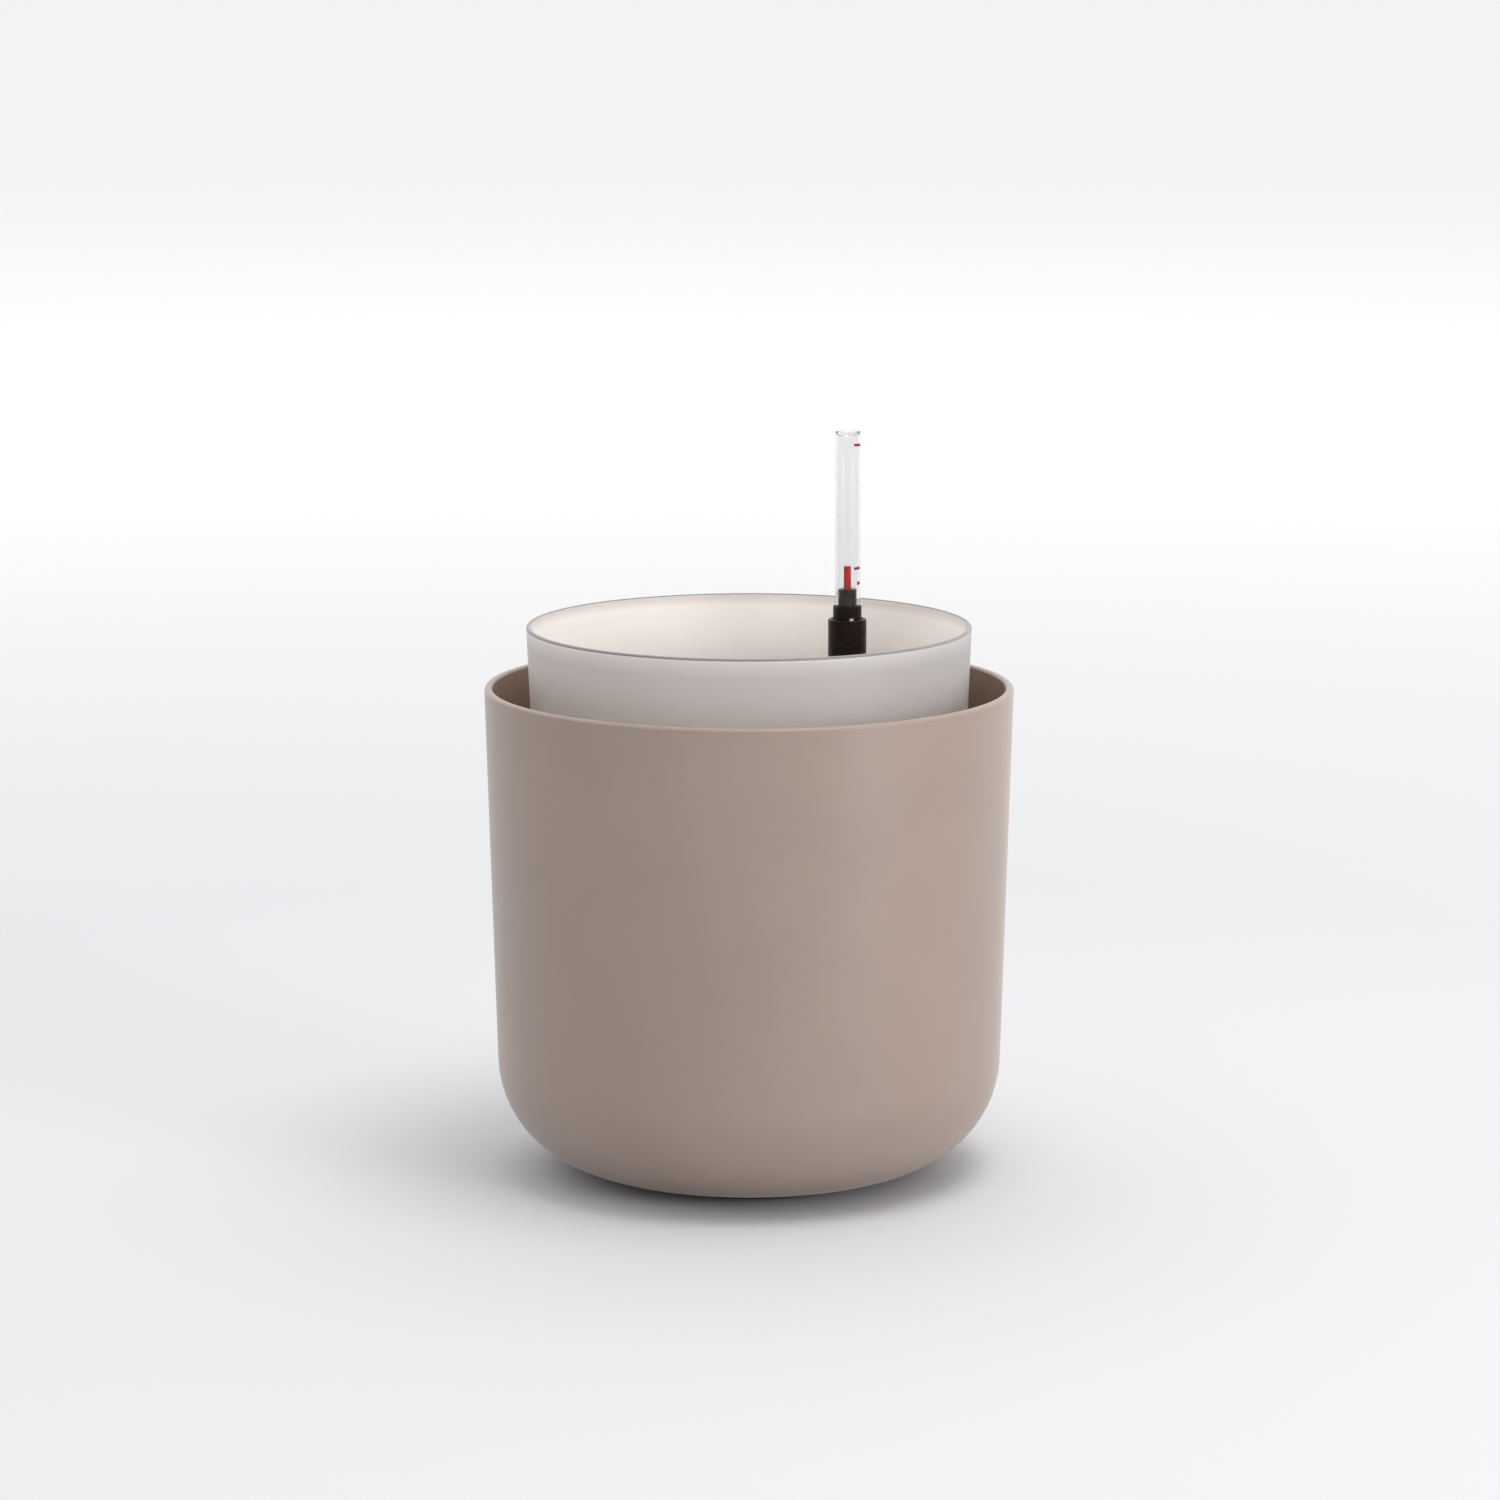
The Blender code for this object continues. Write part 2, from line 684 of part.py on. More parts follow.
def make_sight_glass(clear, black, parent):
    """Collar, guide bush, clear tube and clear end cap: they twist off the housing as one."""
    ledge = COLLAR_LEDGE_Z
    tube_seat = TUBE_RADIUS + GAP
    collar = turned(
        "gauge_collar",
        [
            (COLLAR_RADIUS - COLLAR_EDGE, COLLAR_TOP_Z),
            (COLLAR_RADIUS, COLLAR_TOP_Z - COLLAR_EDGE),
            (COLLAR_RADIUS, HOUSING_TOP_Z),
            (HOUSING_BORE - GAP, HOUSING_TOP_Z - COLLAR_EDGE),
            (HOUSING_BORE - GAP, COLLAR_LOW_Z),
            (BUSH_RADIUS + GAP, COLLAR_LOW_Z),
            (BUSH_RADIUS + GAP, ledge),
            (tube_seat, ledge),
            (tube_seat, COLLAR_TOP_Z),
        ],
        GAUGE_STEPS,
        black,
        parent,
    )

    def lugs(work):
        reach = LUG_RADIUS - LUG_ROOT_RADIUS
        for side in (1, -1):
            x = GAUGE_X + side * (LUG_RADIUS - reach / 2)
            add_box(work, Vector((x, GAUGE_Y, BAYONET_Z)), (reach, LUG_WIDTH, LUG_HEIGHT))

    boolean(collar, cutter("bayonet_lugs_body", lugs), "UNION")
    flange_low = ledge + GAP
    turned(
        "guide_bush",
        [
            (BUSH_RADIUS - COLLAR_EDGE, BUSH_TOP_Z),
            (BUSH_RADIUS, BUSH_TOP_Z - COLLAR_EDGE),
            (BUSH_RADIUS, TUBE_LOW_Z - GAP),
            (TUBE_RADIUS, TUBE_LOW_Z - GAP),
            (TUBE_RADIUS, flange_low),
            (BUSH_BORE, flange_low),
            (BUSH_BORE, BUSH_TOP_Z),
        ],
        GAUGE_STEPS,
        black,
        parent,
    )
    cap_low = GAUGE_TOP_Z - TUBE_CAP_THICKNESS
    turned(
        "sight_tube",
        tube_profile(TUBE_RADIUS, TUBE_BORE, TUBE_LOW_Z, cap_low - GAP, TUBE_EDGE),
        GAUGE_STEPS,
        clear,
        parent,
    )
    spigot_low = cap_low - TUBE_CAP_SPIGOT
    turned(
        "sight_cap",
        [
            (0.0, GAUGE_TOP_Z),
            (TUBE_RADIUS - TUBE_CAP_EDGE, GAUGE_TOP_Z),
            (TUBE_RADIUS, GAUGE_TOP_Z - TUBE_CAP_EDGE),
            (TUBE_RADIUS, cap_low),
            (TUBE_BORE - GAP, cap_low),
            (TUBE_BORE - GAP, spigot_low),
            (0.0, spigot_low),
        ],
        GAUGE_STEPS,
        clear,
        parent,
    )


def make_float(foam, black, red, parent):
    """Foam float on a long rod, held by a clip above and below, with the red pointer on top."""
    spigot_r = ROD_SPIGOT_RADIUS
    spigot_top = POINTER_TOP_Z - POINTER_WALL
    turned(
        "float_rod",
        [
            (0.0, spigot_top),
            (spigot_r, spigot_top),
            (spigot_r, POINTER_LOW_Z - GAP),
            (ROD_RADIUS, POINTER_LOW_Z - GAP),
            (ROD_RADIUS, ROD_LOW_Z),
            (0.0, ROD_LOW_Z),
        ],
        16,
        black,
        parent,
    )
    bore_top = spigot_top + GAP
    bore_r = spigot_r + GAP
    turned(
        "pointer_tip",
        [
            (0.0, POINTER_TOP_Z),
            (POINTER_RADIUS - POINTER_EDGE, POINTER_TOP_Z),
            (POINTER_RADIUS - 0.3 * POINTER_EDGE, POINTER_TOP_Z - 0.3 * POINTER_EDGE),
            (POINTER_RADIUS, POINTER_TOP_Z - POINTER_EDGE),
            (POINTER_RADIUS, POINTER_LOW_Z),
            (bore_r, POINTER_LOW_Z),
            (bore_r, bore_top),
            (0.0, bore_top),
        ],
        20,
        red,
        parent,
    )
    bore = ROD_RADIUS + GAP
    high = FLOAT_LOW_Z + FLOAT_LENGTH
    float_profile = tube_profile(FLOAT_RADIUS, bore, FLOAT_LOW_Z, high, FLOAT_EDGE)
    turned("float", float_profile, GAUGE_STEPS, foam, parent)
    for name, low, top in (
        ("float_clip_lower", ROD_LOW_Z + GAP, FLOAT_LOW_Z - GAP),
        ("float_clip_upper", high + GAP, high + GAP + CLIP_HEIGHT),
    ):
        turned(name, tube_profile(CLIP_RADIUS, bore, low, top, 0.0003), 16, black, parent)


# ---------------------------------------------------------------- assembly


def build():
    taupe = plastic("taupe_matte_plastic", (0.35, 0.27, 0.23), 0.55)
    frosted = plastic("frosted_liner_plastic", (0.80, 0.77, 0.74), 0.45, 0.85)
    black = plastic("black_gauge_plastic", (0.016, 0.014, 0.013), 0.32)
    clear = plastic("clear_gauge_plastic", (0.92, 0.93, 0.94), 0.05, 0.25)
    red = plastic("red_pointer_plastic", (0.62, 0.01, 0.01), 0.35)
    foam = plastic("white_float_foam", (0.82, 0.82, 0.80), 0.8)
    rubber = plastic("black_rubber", (0.02, 0.019, 0.018), 0.75)
    fibre = plastic("wick_fibre", (0.72, 0.68, 0.60), 0.95)
    white = plastic("white_grid_plastic", (0.76, 0.75, 0.73), 0.5)

    planter = new_empty("planter_frame", (0, 0, 0))
    plug = new_empty("drain_plug_axis", (0, 0, 0), planter)
    liner = new_empty("liner_lift", (0, 0, 0), planter)
    grid = new_empty("grid_lift", (0, 0, 0), liner)
    gauge = new_empty("gauge_axis", (GAUGE_X, GAUGE_Y, 0), liner)
    sight = new_empty("sight_twist_axis", (0, 0, 0), gauge)
    floating = new_empty("float_axis", (0, 0, 0), gauge)

    make_outer_pot(taupe, planter)
    make_base_ring(rubber, planter)
    make_drain_plug(taupe, rubber, plug, planter)
    make_inner_pot(frosted, liner)
    make_wicks(fibre, liner)
    make_gauge_grommet(rubber, liner)
    make_soil_grid(white, grid)
    make_gauge_housing(black, gauge)
    make_strainer_cap(black, gauge)
    make_sight_glass(clear, black, sight)
    make_float(foam, black, red, floating)


clear_scene()
PARTS = new_collection("self_watering_planter")
CUTTERS = new_collection("cutters")
build()
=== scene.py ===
"""The looks of the self-watering planter: fine surfaces, materials, light and camera, built round
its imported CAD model. Metres, +Z up, the front of the planter at -Y."""

import json
import math

import bmesh
import bpy
from mathutils import Matrix, Vector

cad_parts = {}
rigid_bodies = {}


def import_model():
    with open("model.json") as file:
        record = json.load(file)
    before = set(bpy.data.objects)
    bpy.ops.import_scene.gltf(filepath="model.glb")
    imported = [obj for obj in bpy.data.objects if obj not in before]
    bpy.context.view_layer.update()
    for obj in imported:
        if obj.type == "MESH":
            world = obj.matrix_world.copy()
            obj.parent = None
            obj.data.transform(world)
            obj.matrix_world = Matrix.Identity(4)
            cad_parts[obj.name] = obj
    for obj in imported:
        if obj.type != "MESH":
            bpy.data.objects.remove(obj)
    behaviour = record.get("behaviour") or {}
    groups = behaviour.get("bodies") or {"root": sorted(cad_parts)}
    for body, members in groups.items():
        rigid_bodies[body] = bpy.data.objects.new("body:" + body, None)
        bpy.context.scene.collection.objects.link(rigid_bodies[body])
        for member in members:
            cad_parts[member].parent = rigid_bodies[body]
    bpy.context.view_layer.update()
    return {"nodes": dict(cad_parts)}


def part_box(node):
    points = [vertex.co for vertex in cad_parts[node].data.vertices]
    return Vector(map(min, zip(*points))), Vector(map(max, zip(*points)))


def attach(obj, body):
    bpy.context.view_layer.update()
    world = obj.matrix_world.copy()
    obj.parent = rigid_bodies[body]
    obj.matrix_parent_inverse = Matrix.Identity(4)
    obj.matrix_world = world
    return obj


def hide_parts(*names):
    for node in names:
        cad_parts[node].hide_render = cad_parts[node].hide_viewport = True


GAP = 0.0003  # clearance that the CAD model keeps between pieces that touch

# Camera: a short telephoto, looking slightly down
CAMERA_DISTANCE = 2.0
CAMERA_HEIGHT = 0.5315
CAMERA_SIDE = 0.0004
CAMERA_PITCH = math.radians(10.05)
CAMERA_LENS = 116.95

# Studio: a white surround, a softbox front right, one overhead and a wide one over the floor behind
WORLD_LEVEL = 0.735
WORLD_SLOPE = (-0.03, 0.42, 0.28)
KEY_TURN = math.radians(52)
KEY_RISE = math.radians(11)
KEY_DISTANCE = 2.5
KEY_SIZE = (0.7, 0.9)
KEY_POWER = 21.5
TOP_PLACE = (0.35, -0.30, 1.7)
TOP_SIZE = (0.8, 0.8)
TOP_POWER = 11.0
TOP_COLOUR = (1.0, 0.95, 0.90)
BACK_PLACE = (0.0, 2.6, 2.4)
BACK_SIZE = (4.0, 3.0)
BACK_POWER = 14.0

# Plastics: base colours, and for the frosted one how far light travels in it, then the colour
# that it turns to under the rim, and over what length. The pot's inside copy, the separate frosted
# colours for outside, inside and rim, and the colour under the rim are painted light and shade.
TAUPE = (0.335, 0.258, 0.218)
# painted light: the pot's inside is a lighter, warmer copy of the same taupe, which paints the
# light in the gap between the two pots
TAUPE_INSIDE_PAINTED_LIGHT = (0.44, 0.305, 0.225)
TAUPE_SHEEN = 0.30
# painted shade and light: the frosted outside is a dark copy and the inside a bright, warm copy of
# one wall
FROSTED_OUTSIDE_PAINTED_SHADE = ((0.26, 0.26, 0.265), 0.016, (0.36, 0.36, 0.36), 0.008)
FROSTED_INSIDE_PAINTED_LIGHT = ((0.82, 0.755, 0.71), 0.010, (0.38, 0.37, 0.37), 0.005)
# painted shade: the rim's faces are a dark copy of the frosted plastic
FROSTED_RIM_PAINTED_SHADE = ((0.22, 0.22, 0.22), 0.001, (0.26, 0.26, 0.26), 0.001)

# How finely round shapes are made
POT_STEPS = 240
GAUGE_STEPS = 96
LEG_STEPS = 56
BORE_STEPS = 72
WICK_HOLE_STEPS = 48
HOLE_STEPS = 32
FINE_HOLE_STEPS = 24
ROD_STEPS = 32
TIP_STEPS = 48
FLOAT_STEPS = 64
BAND_STEPS = 16
ARC_STEP = math.radians(6)

# Outer pot
POT_TAPER = math.radians(1.61)
POT_WALL = 0.0030
POT_RIM_WALL = 0.0034
POT_FILLET = 0.0454
RING_SEAT_DEPTH = 0.0012
RING_BORE_MARGIN = 0.00011
RING_GROOVES = 60
RING_GROOVE_SIZE = 0.0008
RING_GROOVE_INSET = 0.0022
DRAIN_BOSS_RADIUS = 0.018
DRAIN_BOSS_RISE = 0.0025
DRAIN_HOLE_RADIUS = 0.0062
COIN_SLOT = (0.0150, 0.0022, 0.0028)

# Inner pot
LINER_TAPER = math.radians(2.4)
LINER_WALL = 0.0018
LINER_RIM_EDGE = 0.0009
LINER_FLOOR_Z = 0.0780
LINER_FLOOR = 0.0022
LINER_FILLET = 0.0060
LEG_TOP_RADIUS = 0.0110
LEG_BOTTOM_RADIUS = 0.0090
LEG_WALL = 0.0016
LEG_SLOT = (0.0024, 0.014, 0.066)  # width, bottom and top
LEG_SLOT_LENGTH = 0.028
FOOT_HOLE_RADIUS = 0.0030
DRAIN_RINGS = ((0.022, 6), (0.062, 12))  # radius of the ring and how many holes
DRAIN_RADIUS = 0.0022
DRAIN_CLEARANCE = 0.004
BOSS_BORE = 0.0106
BOSS_RADIUS = 0.0122
BOSS_TOP_Z = 0.0920
WICK_RIDGES = 46

# Soil grid
GRID_THICKNESS = 0.0020
GRID_SKIRT_RADIUS = 0.0725
GRID_SKIRT_WALL = 0.0016
GRID_HOLE_RADIUS = 0.0034
GRID_HOLE_PITCH = 0.0205
GRID_HOLE_RINGS = 3
GRID_BAY = BOSS_RADIUS + 0.0014
GRID_CLEAR_OF_WICK = 0.0115
GRID_CLEAR_OF_GAUGE = BOSS_RADIUS + 0.0065
GRID_NOTCH = (0.006, 0.022, 0.007)
WICK_CLEARANCE = 0.0008

# Gauge
HOUSING_RADIUS = 0.0082
HOUSING_BORE = 0.0067
HOUSING_LEDGE_BORE = 0.0056
HOUSING_LEDGE = 0.0020
HOUSING_FLANGE = 0.0020
HOUSING_SLOT = (0.0024, 0.020, 0.062)  # width, bottom and top
HOUSING_SLOT_LENGTH = 0.024
STRAINER_HOLES = (6, 0.0038, 0.0011)  # how many, ring radius and hole radius
COLLAR_RADIUS = 0.0061
BAYONET_Z = 0.2188
BAYONET_TWIST = math.radians(60)
LUG_RADIUS = 0.0073
LUG_SIZE = (0.0024, 0.0020)
LUG_ROOT = HOUSING_BORE - 0.0014
TUBE_BORE = 0.00425
BUSH_RADIUS = 0.0039
BUSH_BORE = 0.00195
MARK_HEIGHT = 0.0011
# height, first and last angle in degrees from the front, and how far the mark climbs
MARKS = ((0.2991, 28, 98, -0.0005), (0.2466, 30, 94, -0.0002), (0.2401, 50, 94, 0.0))


# ---------------------------------------------------------------- shapes


def rounded(corners, closed):
    """The (r, z) points of a profile through (r, z, radius) corners, each one rounded off."""
    points = []
    for i, (r, z, radius) in enumerate(corners):
        corner = Vector((r, z))
        last = i in (0, len(corners) - 1)
        if radius <= 0 or (last and not closed):
            points.append(corner)
            continue
        back = (Vector(corners[i - 1][:2]) - corner).normalized()
        ahead = (Vector(corners[(i + 1) % len(corners)][:2]) - corner).normalized()
        inside = back.angle(ahead)
        centre = corner + (back + ahead).normalized() * radius / math.sin(inside / 2)
        reach = radius / math.tan(inside / 2)
        start = corner + back * reach - centre
        end = corner + ahead * reach - centre
        turn = start.angle_signed(end)
        steps = max(3, math.ceil(abs(turn) / ARC_STEP))
        for k in range(steps + 1):
            points.append(centre + Matrix.Rotation(-turn * k / steps, 2) @ start)
    return points


def turned(name, corners, steps=GAUGE_STEPS, place=(0.0, 0.0), closed=None):
    """A body of revolution about a vertical axis. Its profile runs down the outer side; one
    that starts off the axis is closed into a ring."""
    ring = corners[0][0] > 0 if closed is None else closed
    points = rounded(corners, ring)
    mesh = bpy.data.meshes.new(name)
    edges = [(i, i + 1) for i in range(len(points) - 1)]
    if ring:
        edges.append((len(points) - 1, 0))
    mesh.from_pydata([(r, 0.0, z) for r, z in points], edges, [])
    obj = bpy.data.objects.new(name, mesh)
    bpy.context.scene.collection.objects.link(obj)
    obj.location = (*place, 0.0)
    screw = obj.modifiers.new("turn", "SCREW")
    screw.steps = steps
    screw.render_steps = steps
    screw.use_merge_vertices = True
    screw.merge_threshold = 0.00001
    screw.use_smooth_shade = True
    return obj


def cylinder(work, place, low_radius, high_radius, low, high, segments):
    middle = Vector((*place, (low + high) / 2))
    bmesh.ops.create_cone(
        work,
        cap_ends=True,
        segments=segments,
        radius1=low_radius,
        radius2=high_radius,
        depth=high - low,
        matrix=Matrix.Translation(middle),
    )


def hole(work, place, radius, low, high, segments):
    """A straight cylinder, for a hole or a boss."""
    cylinder(work, place, radius, radius, low, high, segments)


def box(work, centre, size, turn=0.0):
    place = Matrix.Translation(centre) @ Matrix.Rotation(turn, 4, "Z")
    bmesh.ops.create_cube(work, size=1.0, matrix=place @ Matrix.Diagonal((*size, 1.0)))


def helper(name, build):
    """A mesh for one Boolean: build fills it with closed shapes."""
    mesh = bpy.data.meshes.new(name)
    work = bmesh.new()
    build(work)
    work.to_mesh(mesh)
    work.free()
    obj = bpy.data.objects.new(name, mesh)
    bpy.context.scene.collection.objects.link(obj)
    return obj


def settled(obj):
    """The object's modifiers applied, in the row frame."""
    bpy.context.view_layer.update()
    graph = bpy.context.evaluated_depsgraph_get()
    mesh = bpy.data.meshes.new_from_object(obj.evaluated_get(graph))
    mesh.transform(obj.matrix_world)
    obj.modifiers.clear()
    obj.data = mesh
    obj.matrix_world = Matrix.Identity(4)
    return obj


def carved(obj, steps):
    """obj after a row of (operation, helper object) Booleans, applied one by one."""
    for operation, other in steps:
        cut = obj.modifiers.new(operation.lower(), "BOOLEAN")
        cut.operation = operation
        cut.solver = "EXACT"
        cut.object = other
    settled(obj)
    for _, other in steps:
        bpy.data.objects.remove(other)
    return obj


def dressed(obj, body, nodes, material):
    """The finished piece: smooth where it is round, with its material, riding on its body."""
    settled(obj)
    obj.data.shade_smooth()
    obj.data.set_sharp_from_angle(angle=math.radians(32))
    weighted = obj.modifiers.new("weighted_normals", "WEIGHTED_NORMAL")
    weighted.keep_sharp = True
    obj.data.materials.clear()
    obj.data.materials.append(material)
    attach(obj, body)
    if nodes:
        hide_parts(*nodes)
    return obj


def polar(radius, angle):
    return (radius * math.cos(angle), radius * math.sin(angle))


# ---------------------------------------------------------------- materials


class Nodes:
    """A Principled material, and short ways to add the nodes that feed it."""

    def __init__(self, name, **values):
        self.material = bpy.data.materials.new(name)
        self.material.use_nodes = True
        self.tree = self.material.node_tree
        self.shader = self.tree.nodes["Principled BSDF"]
        for key, value in values.items():
            self.shader.inputs[key.replace("_", " ")].default_value = value
        self.place = self.add("ShaderNodeTexCoord").outputs["Object"]

    def add(self, kind, **links):
        node = self.tree.nodes.new(kind)
        for key, value in links.items():
            socket = node.inputs[key.replace("_", " ")]
            if isinstance(value, bpy.types.NodeSocket):
                self.tree.links.new(value, socket)
            else:
                socket.default_value = value
        return node

    def noise(self, scale, detail=3.0, roughness=0.5, stretch=None):
        place = self.place
        if stretch:
            moved = self.add("ShaderNodeMapping", Vector=self.place)
            moved.inputs["Scale"].default_value = stretch
            place = moved.outputs["Vector"]
        node = self.add("ShaderNodeTexNoise", Vector=place, Scale=scale, Detail=detail)
        node.inputs["Roughness"].default_value = roughness
        return node.outputs["Fac"]

    def spread(self, value, low, high, source=(0.3, 0.7)):
        node = self.add("ShaderNodeMapRange", Value=value)
        node.inputs["From Min"].default_value = source[0]
        node.inputs["From Max"].default_value = source[1]
        node.inputs["To Min"].default_value = low
        node.inputs["To Max"].default_value = high
        return node.outputs["Result"]

    def ramp(self, value, low, high, ends=(0.3, 0.7)):
        """A colour between two colours."""
        node = self.add("ShaderNodeValToRGB", Fac=value)
        for stop, position, colour in zip(node.color_ramp.elements, ends, (low, high)):
            stop.position = position
            stop.color = (*colour, 1.0)
        return node.outputs["Color"]

    def feed(self, name, value):
        self.tree.links.new(value, self.shader.inputs[name])

    def bump(self, height, distance, strength=1.0, under=None):
        node = self.add("ShaderNodeBump", Height=height, Distance=distance, Strength=strength)
        if under:
            self.tree.links.new(under, node.inputs["Normal"])
        return node.outputs["Normal"]


def shade(colour, factor):
    return tuple(min(1.0, c * factor) for c in colour)


def taupe_plastic(name, base, sheen):
    """Soft-touch moulded plastic with a fine eroded grain."""
    m = Nodes(name, IOR=1.5)
    m.shader.inputs["Sheen Weight"].default_value = sheen
    m.shader.inputs["Sheen Roughness"].default_value = 0.30
    m.shader.inputs["Specular IOR Level"].default_value = 0.5
    cloud = m.noise(22.0, 4.0)
    m.feed("Base Color", m.ramp(cloud, shade(base, 0.97), shade(base, 1.03)))
    grain = m.noise(2600.0, 2.0)
    m.feed("Roughness", m.spread(grain, 0.38, 0.48))
    peel = m.bump(m.noise(260.0, 2.0), 0.00005, 0.35)
    m.feed("Normal", m.bump(grain, 0.00004, 0.55, peel))
    return m.material


def frosted_plastic(name, base, depth, edge, reach):
    """Milky polypropylene; depth is how far light travels in it. It turns to the edge colour
    over the last stretch, of length reach, below the rim: a painted highlight outside, painted
    shade inside."""
    m = Nodes(name, IOR=1.49)
    m.shader.inputs["Subsurface Weight"].default_value = 1.0
    m.shader.inputs["Subsurface Radius"].default_value = (1.0, 0.9, 0.85)
    m.shader.inputs["Subsurface Scale"].default_value = depth
    m.shader.inputs["Specular IOR Level"].default_value = 0.35
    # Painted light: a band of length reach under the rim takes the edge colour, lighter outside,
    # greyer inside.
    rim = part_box("inner_pot")[1].z
    height = m.add("ShaderNodeSeparateXYZ", Vector=m.place).outputs["Z"]
    painted_rim_band = m.spread(height, 0.0, 1.0, (rim - reach, rim))
    cloud = m.spread(m.noise(35.0, 3.0), -0.03, 0.03)
    mixed = m.add("ShaderNodeMath")
    m.tree.links.new(painted_rim_band, mixed.inputs[0])
    m.tree.links.new(cloud, mixed.inputs[1])
    m.feed("Base Color", m.ramp(mixed.outputs["Value"], base, edge, (0.0, 1.0)))
    grain = m.noise(1900.0, 2.0)
    flow = m.noise(90.0, 2.0, stretch=(0.25, 0.25, 3.0))
    m.feed("Roughness", m.spread(grain, 0.40, 0.52))
    m.feed("Normal", m.bump(grain, 0.00003, 0.45, m.bump(flow, 0.00004, 0.25)))
    return m.material


def black_plastic():
    m = Nodes("black_satin_plastic", IOR=1.5)
    cloud = m.noise(180.0, 3.0)
    m.feed("Base Color", m.ramp(cloud, (0.0060, 0.0022, 0.0018), (0.0095, 0.0042, 0.0034)))
    m.shader.inputs["Specular IOR Level"].default_value = 0.16
    m.feed("Roughness", m.spread(m.noise(900.0, 3.0), 0.24, 0.34))
    m.feed("Normal", m.bump(m.noise(1500.0, 2.0), 0.00002, 0.35))
    return m.material


def clear_plastic():
    m = Nodes("clear_acrylic", IOR=1.33)
    m.shader.inputs["Base Color"].default_value = (0.87, 0.875, 0.885, 1.0)
    m.shader.inputs["Transmission Weight"].default_value = 1.0
    m.shader.inputs["Specular IOR Level"].default_value = 0.1
    m.feed("Roughness", m.spread(m.noise(420.0, 2.0), 0.0, 0.02))
    m.feed("Normal", m.bump(m.noise(60.0, 2.0, stretch=(1, 1, 0.15)), 0.000002, 0.1))
    return m.material


def red_plastic():
    m = Nodes("red_pointer", IOR=1.5)
    m.shader.inputs["Specular IOR Level"].default_value = 0.1
    cloud = m.noise(300.0, 2.0)
    m.feed("Base Color", m.ramp(cloud, (0.68, 0.010, 0.008), (0.78, 0.018, 0.014)))
    m.feed("Roughness", m.spread(m.noise(900.0, 2.0), 0.30, 0.42))
    m.feed("Normal", m.bump(m.noise(1800.0, 2.0), 0.00002, 0.3))
    return m.material


def red_ink():
    m = Nodes("red_scale_ink", IOR=1.45)
    cover = m.noise(2200.0, 3.0)
    m.feed("Base Color", m.ramp(cover, (0.17, 0.006, 0.022), (0.24, 0.014, 0.040)))
    m.feed("Roughness", m.spread(cover, 0.40, 0.55))
    return m.material


def painted_glint_material():
    m = Nodes("painted_glint", IOR=1.45)
    # a pale patch that paints a glint on the gauge collar: painted highlight
    cover = m.noise(2200.0, 3.0)
    m.feed("Base Color", m.ramp(cover, (0.62, 0.60, 0.58), (0.74, 0.72, 0.70)))
    m.feed("Roughness", m.spread(cover, 0.45, 0.6))
    return m.material


def black_rubber():
    m = Nodes("black_rubber", IOR=1.52)
    m.shader.inputs["Specular IOR Level"].default_value = 0.35
    dust = m.noise(260.0, 5.0, 0.65)
    m.feed("Base Color", m.ramp(dust, (0.014, 0.013, 0.013), (0.035, 0.033, 0.031), (0.45, 0.75)))
    m.feed("Roughness", m.spread(m.noise(700.0, 3.0), 0.68, 0.86))
    m.feed("Normal", m.bump(m.noise(1400.0, 3.0), 0.00005, 0.6))
    return m.material


def wick_fibre():
    m = Nodes("bonded_wick_fibre", IOR=1.45)
    m.shader.inputs["Sheen Weight"].default_value = 0.3
    strands = m.noise(2400.0, 4.0, 0.6, (1.0, 1.0, 0.08))
    m.feed("Base Color", m.ramp(strands, (0.56, 0.51, 0.42), (0.80, 0.76, 0.68)))
    m.feed("Roughness", m.spread(strands, 0.85, 1.0))
    m.feed("Normal", m.bump(strands, 0.0003, 0.8))
    return m.material


def white_plastic():
    m = Nodes("white_moulded_plastic", IOR=1.49)
    cloud = m.noise(60.0, 4.0)
    m.feed("Base Color", m.ramp(cloud, (0.74, 0.73, 0.71), (0.78, 0.77, 0.75)))
    grain = m.noise(1700.0, 2.0)
    m.feed("Roughness", m.spread(grain, 0.48, 0.62))
    m.feed("Normal", m.bump(grain, 0.00004, 0.5))
    return m.material


def float_foam():
    m = Nodes("closed_cell_foam", IOR=1.4)
    cells = m.add("ShaderNodeTexVoronoi", Vector=m.place, Scale=1500.0).outputs["Distance"]
    m.feed("Base Color", m.ramp(cells, (0.68, 0.68, 0.66), (0.86, 0.86, 0.84), (0.0, 0.6)))
    m.feed("Roughness", m.spread(cells, 0.8, 0.95, (0, 0.6)))
    m.feed("Normal", m.bump(cells, 0.0002, 0.6))
    return m.material


def paper_floor_painted_shade():
    m = Nodes("studio_floor_painted_shade", IOR=1.45)
    m.shader.inputs["Specular IOR Level"].default_value = 0.2
    m.shader.inputs["Roughness"].default_value = 0.9
    # Painted shade: the floor is grey within 0.6 m of the planter and turns near white past 2.7 m.
    painted_shade_distance = m.add("ShaderNodeVectorMath")
    painted_shade_distance.operation = "LENGTH"
    m.tree.links.new(m.place, painted_shade_distance.inputs[0])
    reach = m.spread(painted_shade_distance.outputs["Value"], 0.0, 1.0, (0.0, 3.0))
    m.feed("Base Color", m.ramp(reach, (0.655, 0.668, 0.695), (0.965, 0.965, 0.968), (0.20, 0.9)))
    return m.material


# ---------------------------------------------------------------- outer pot


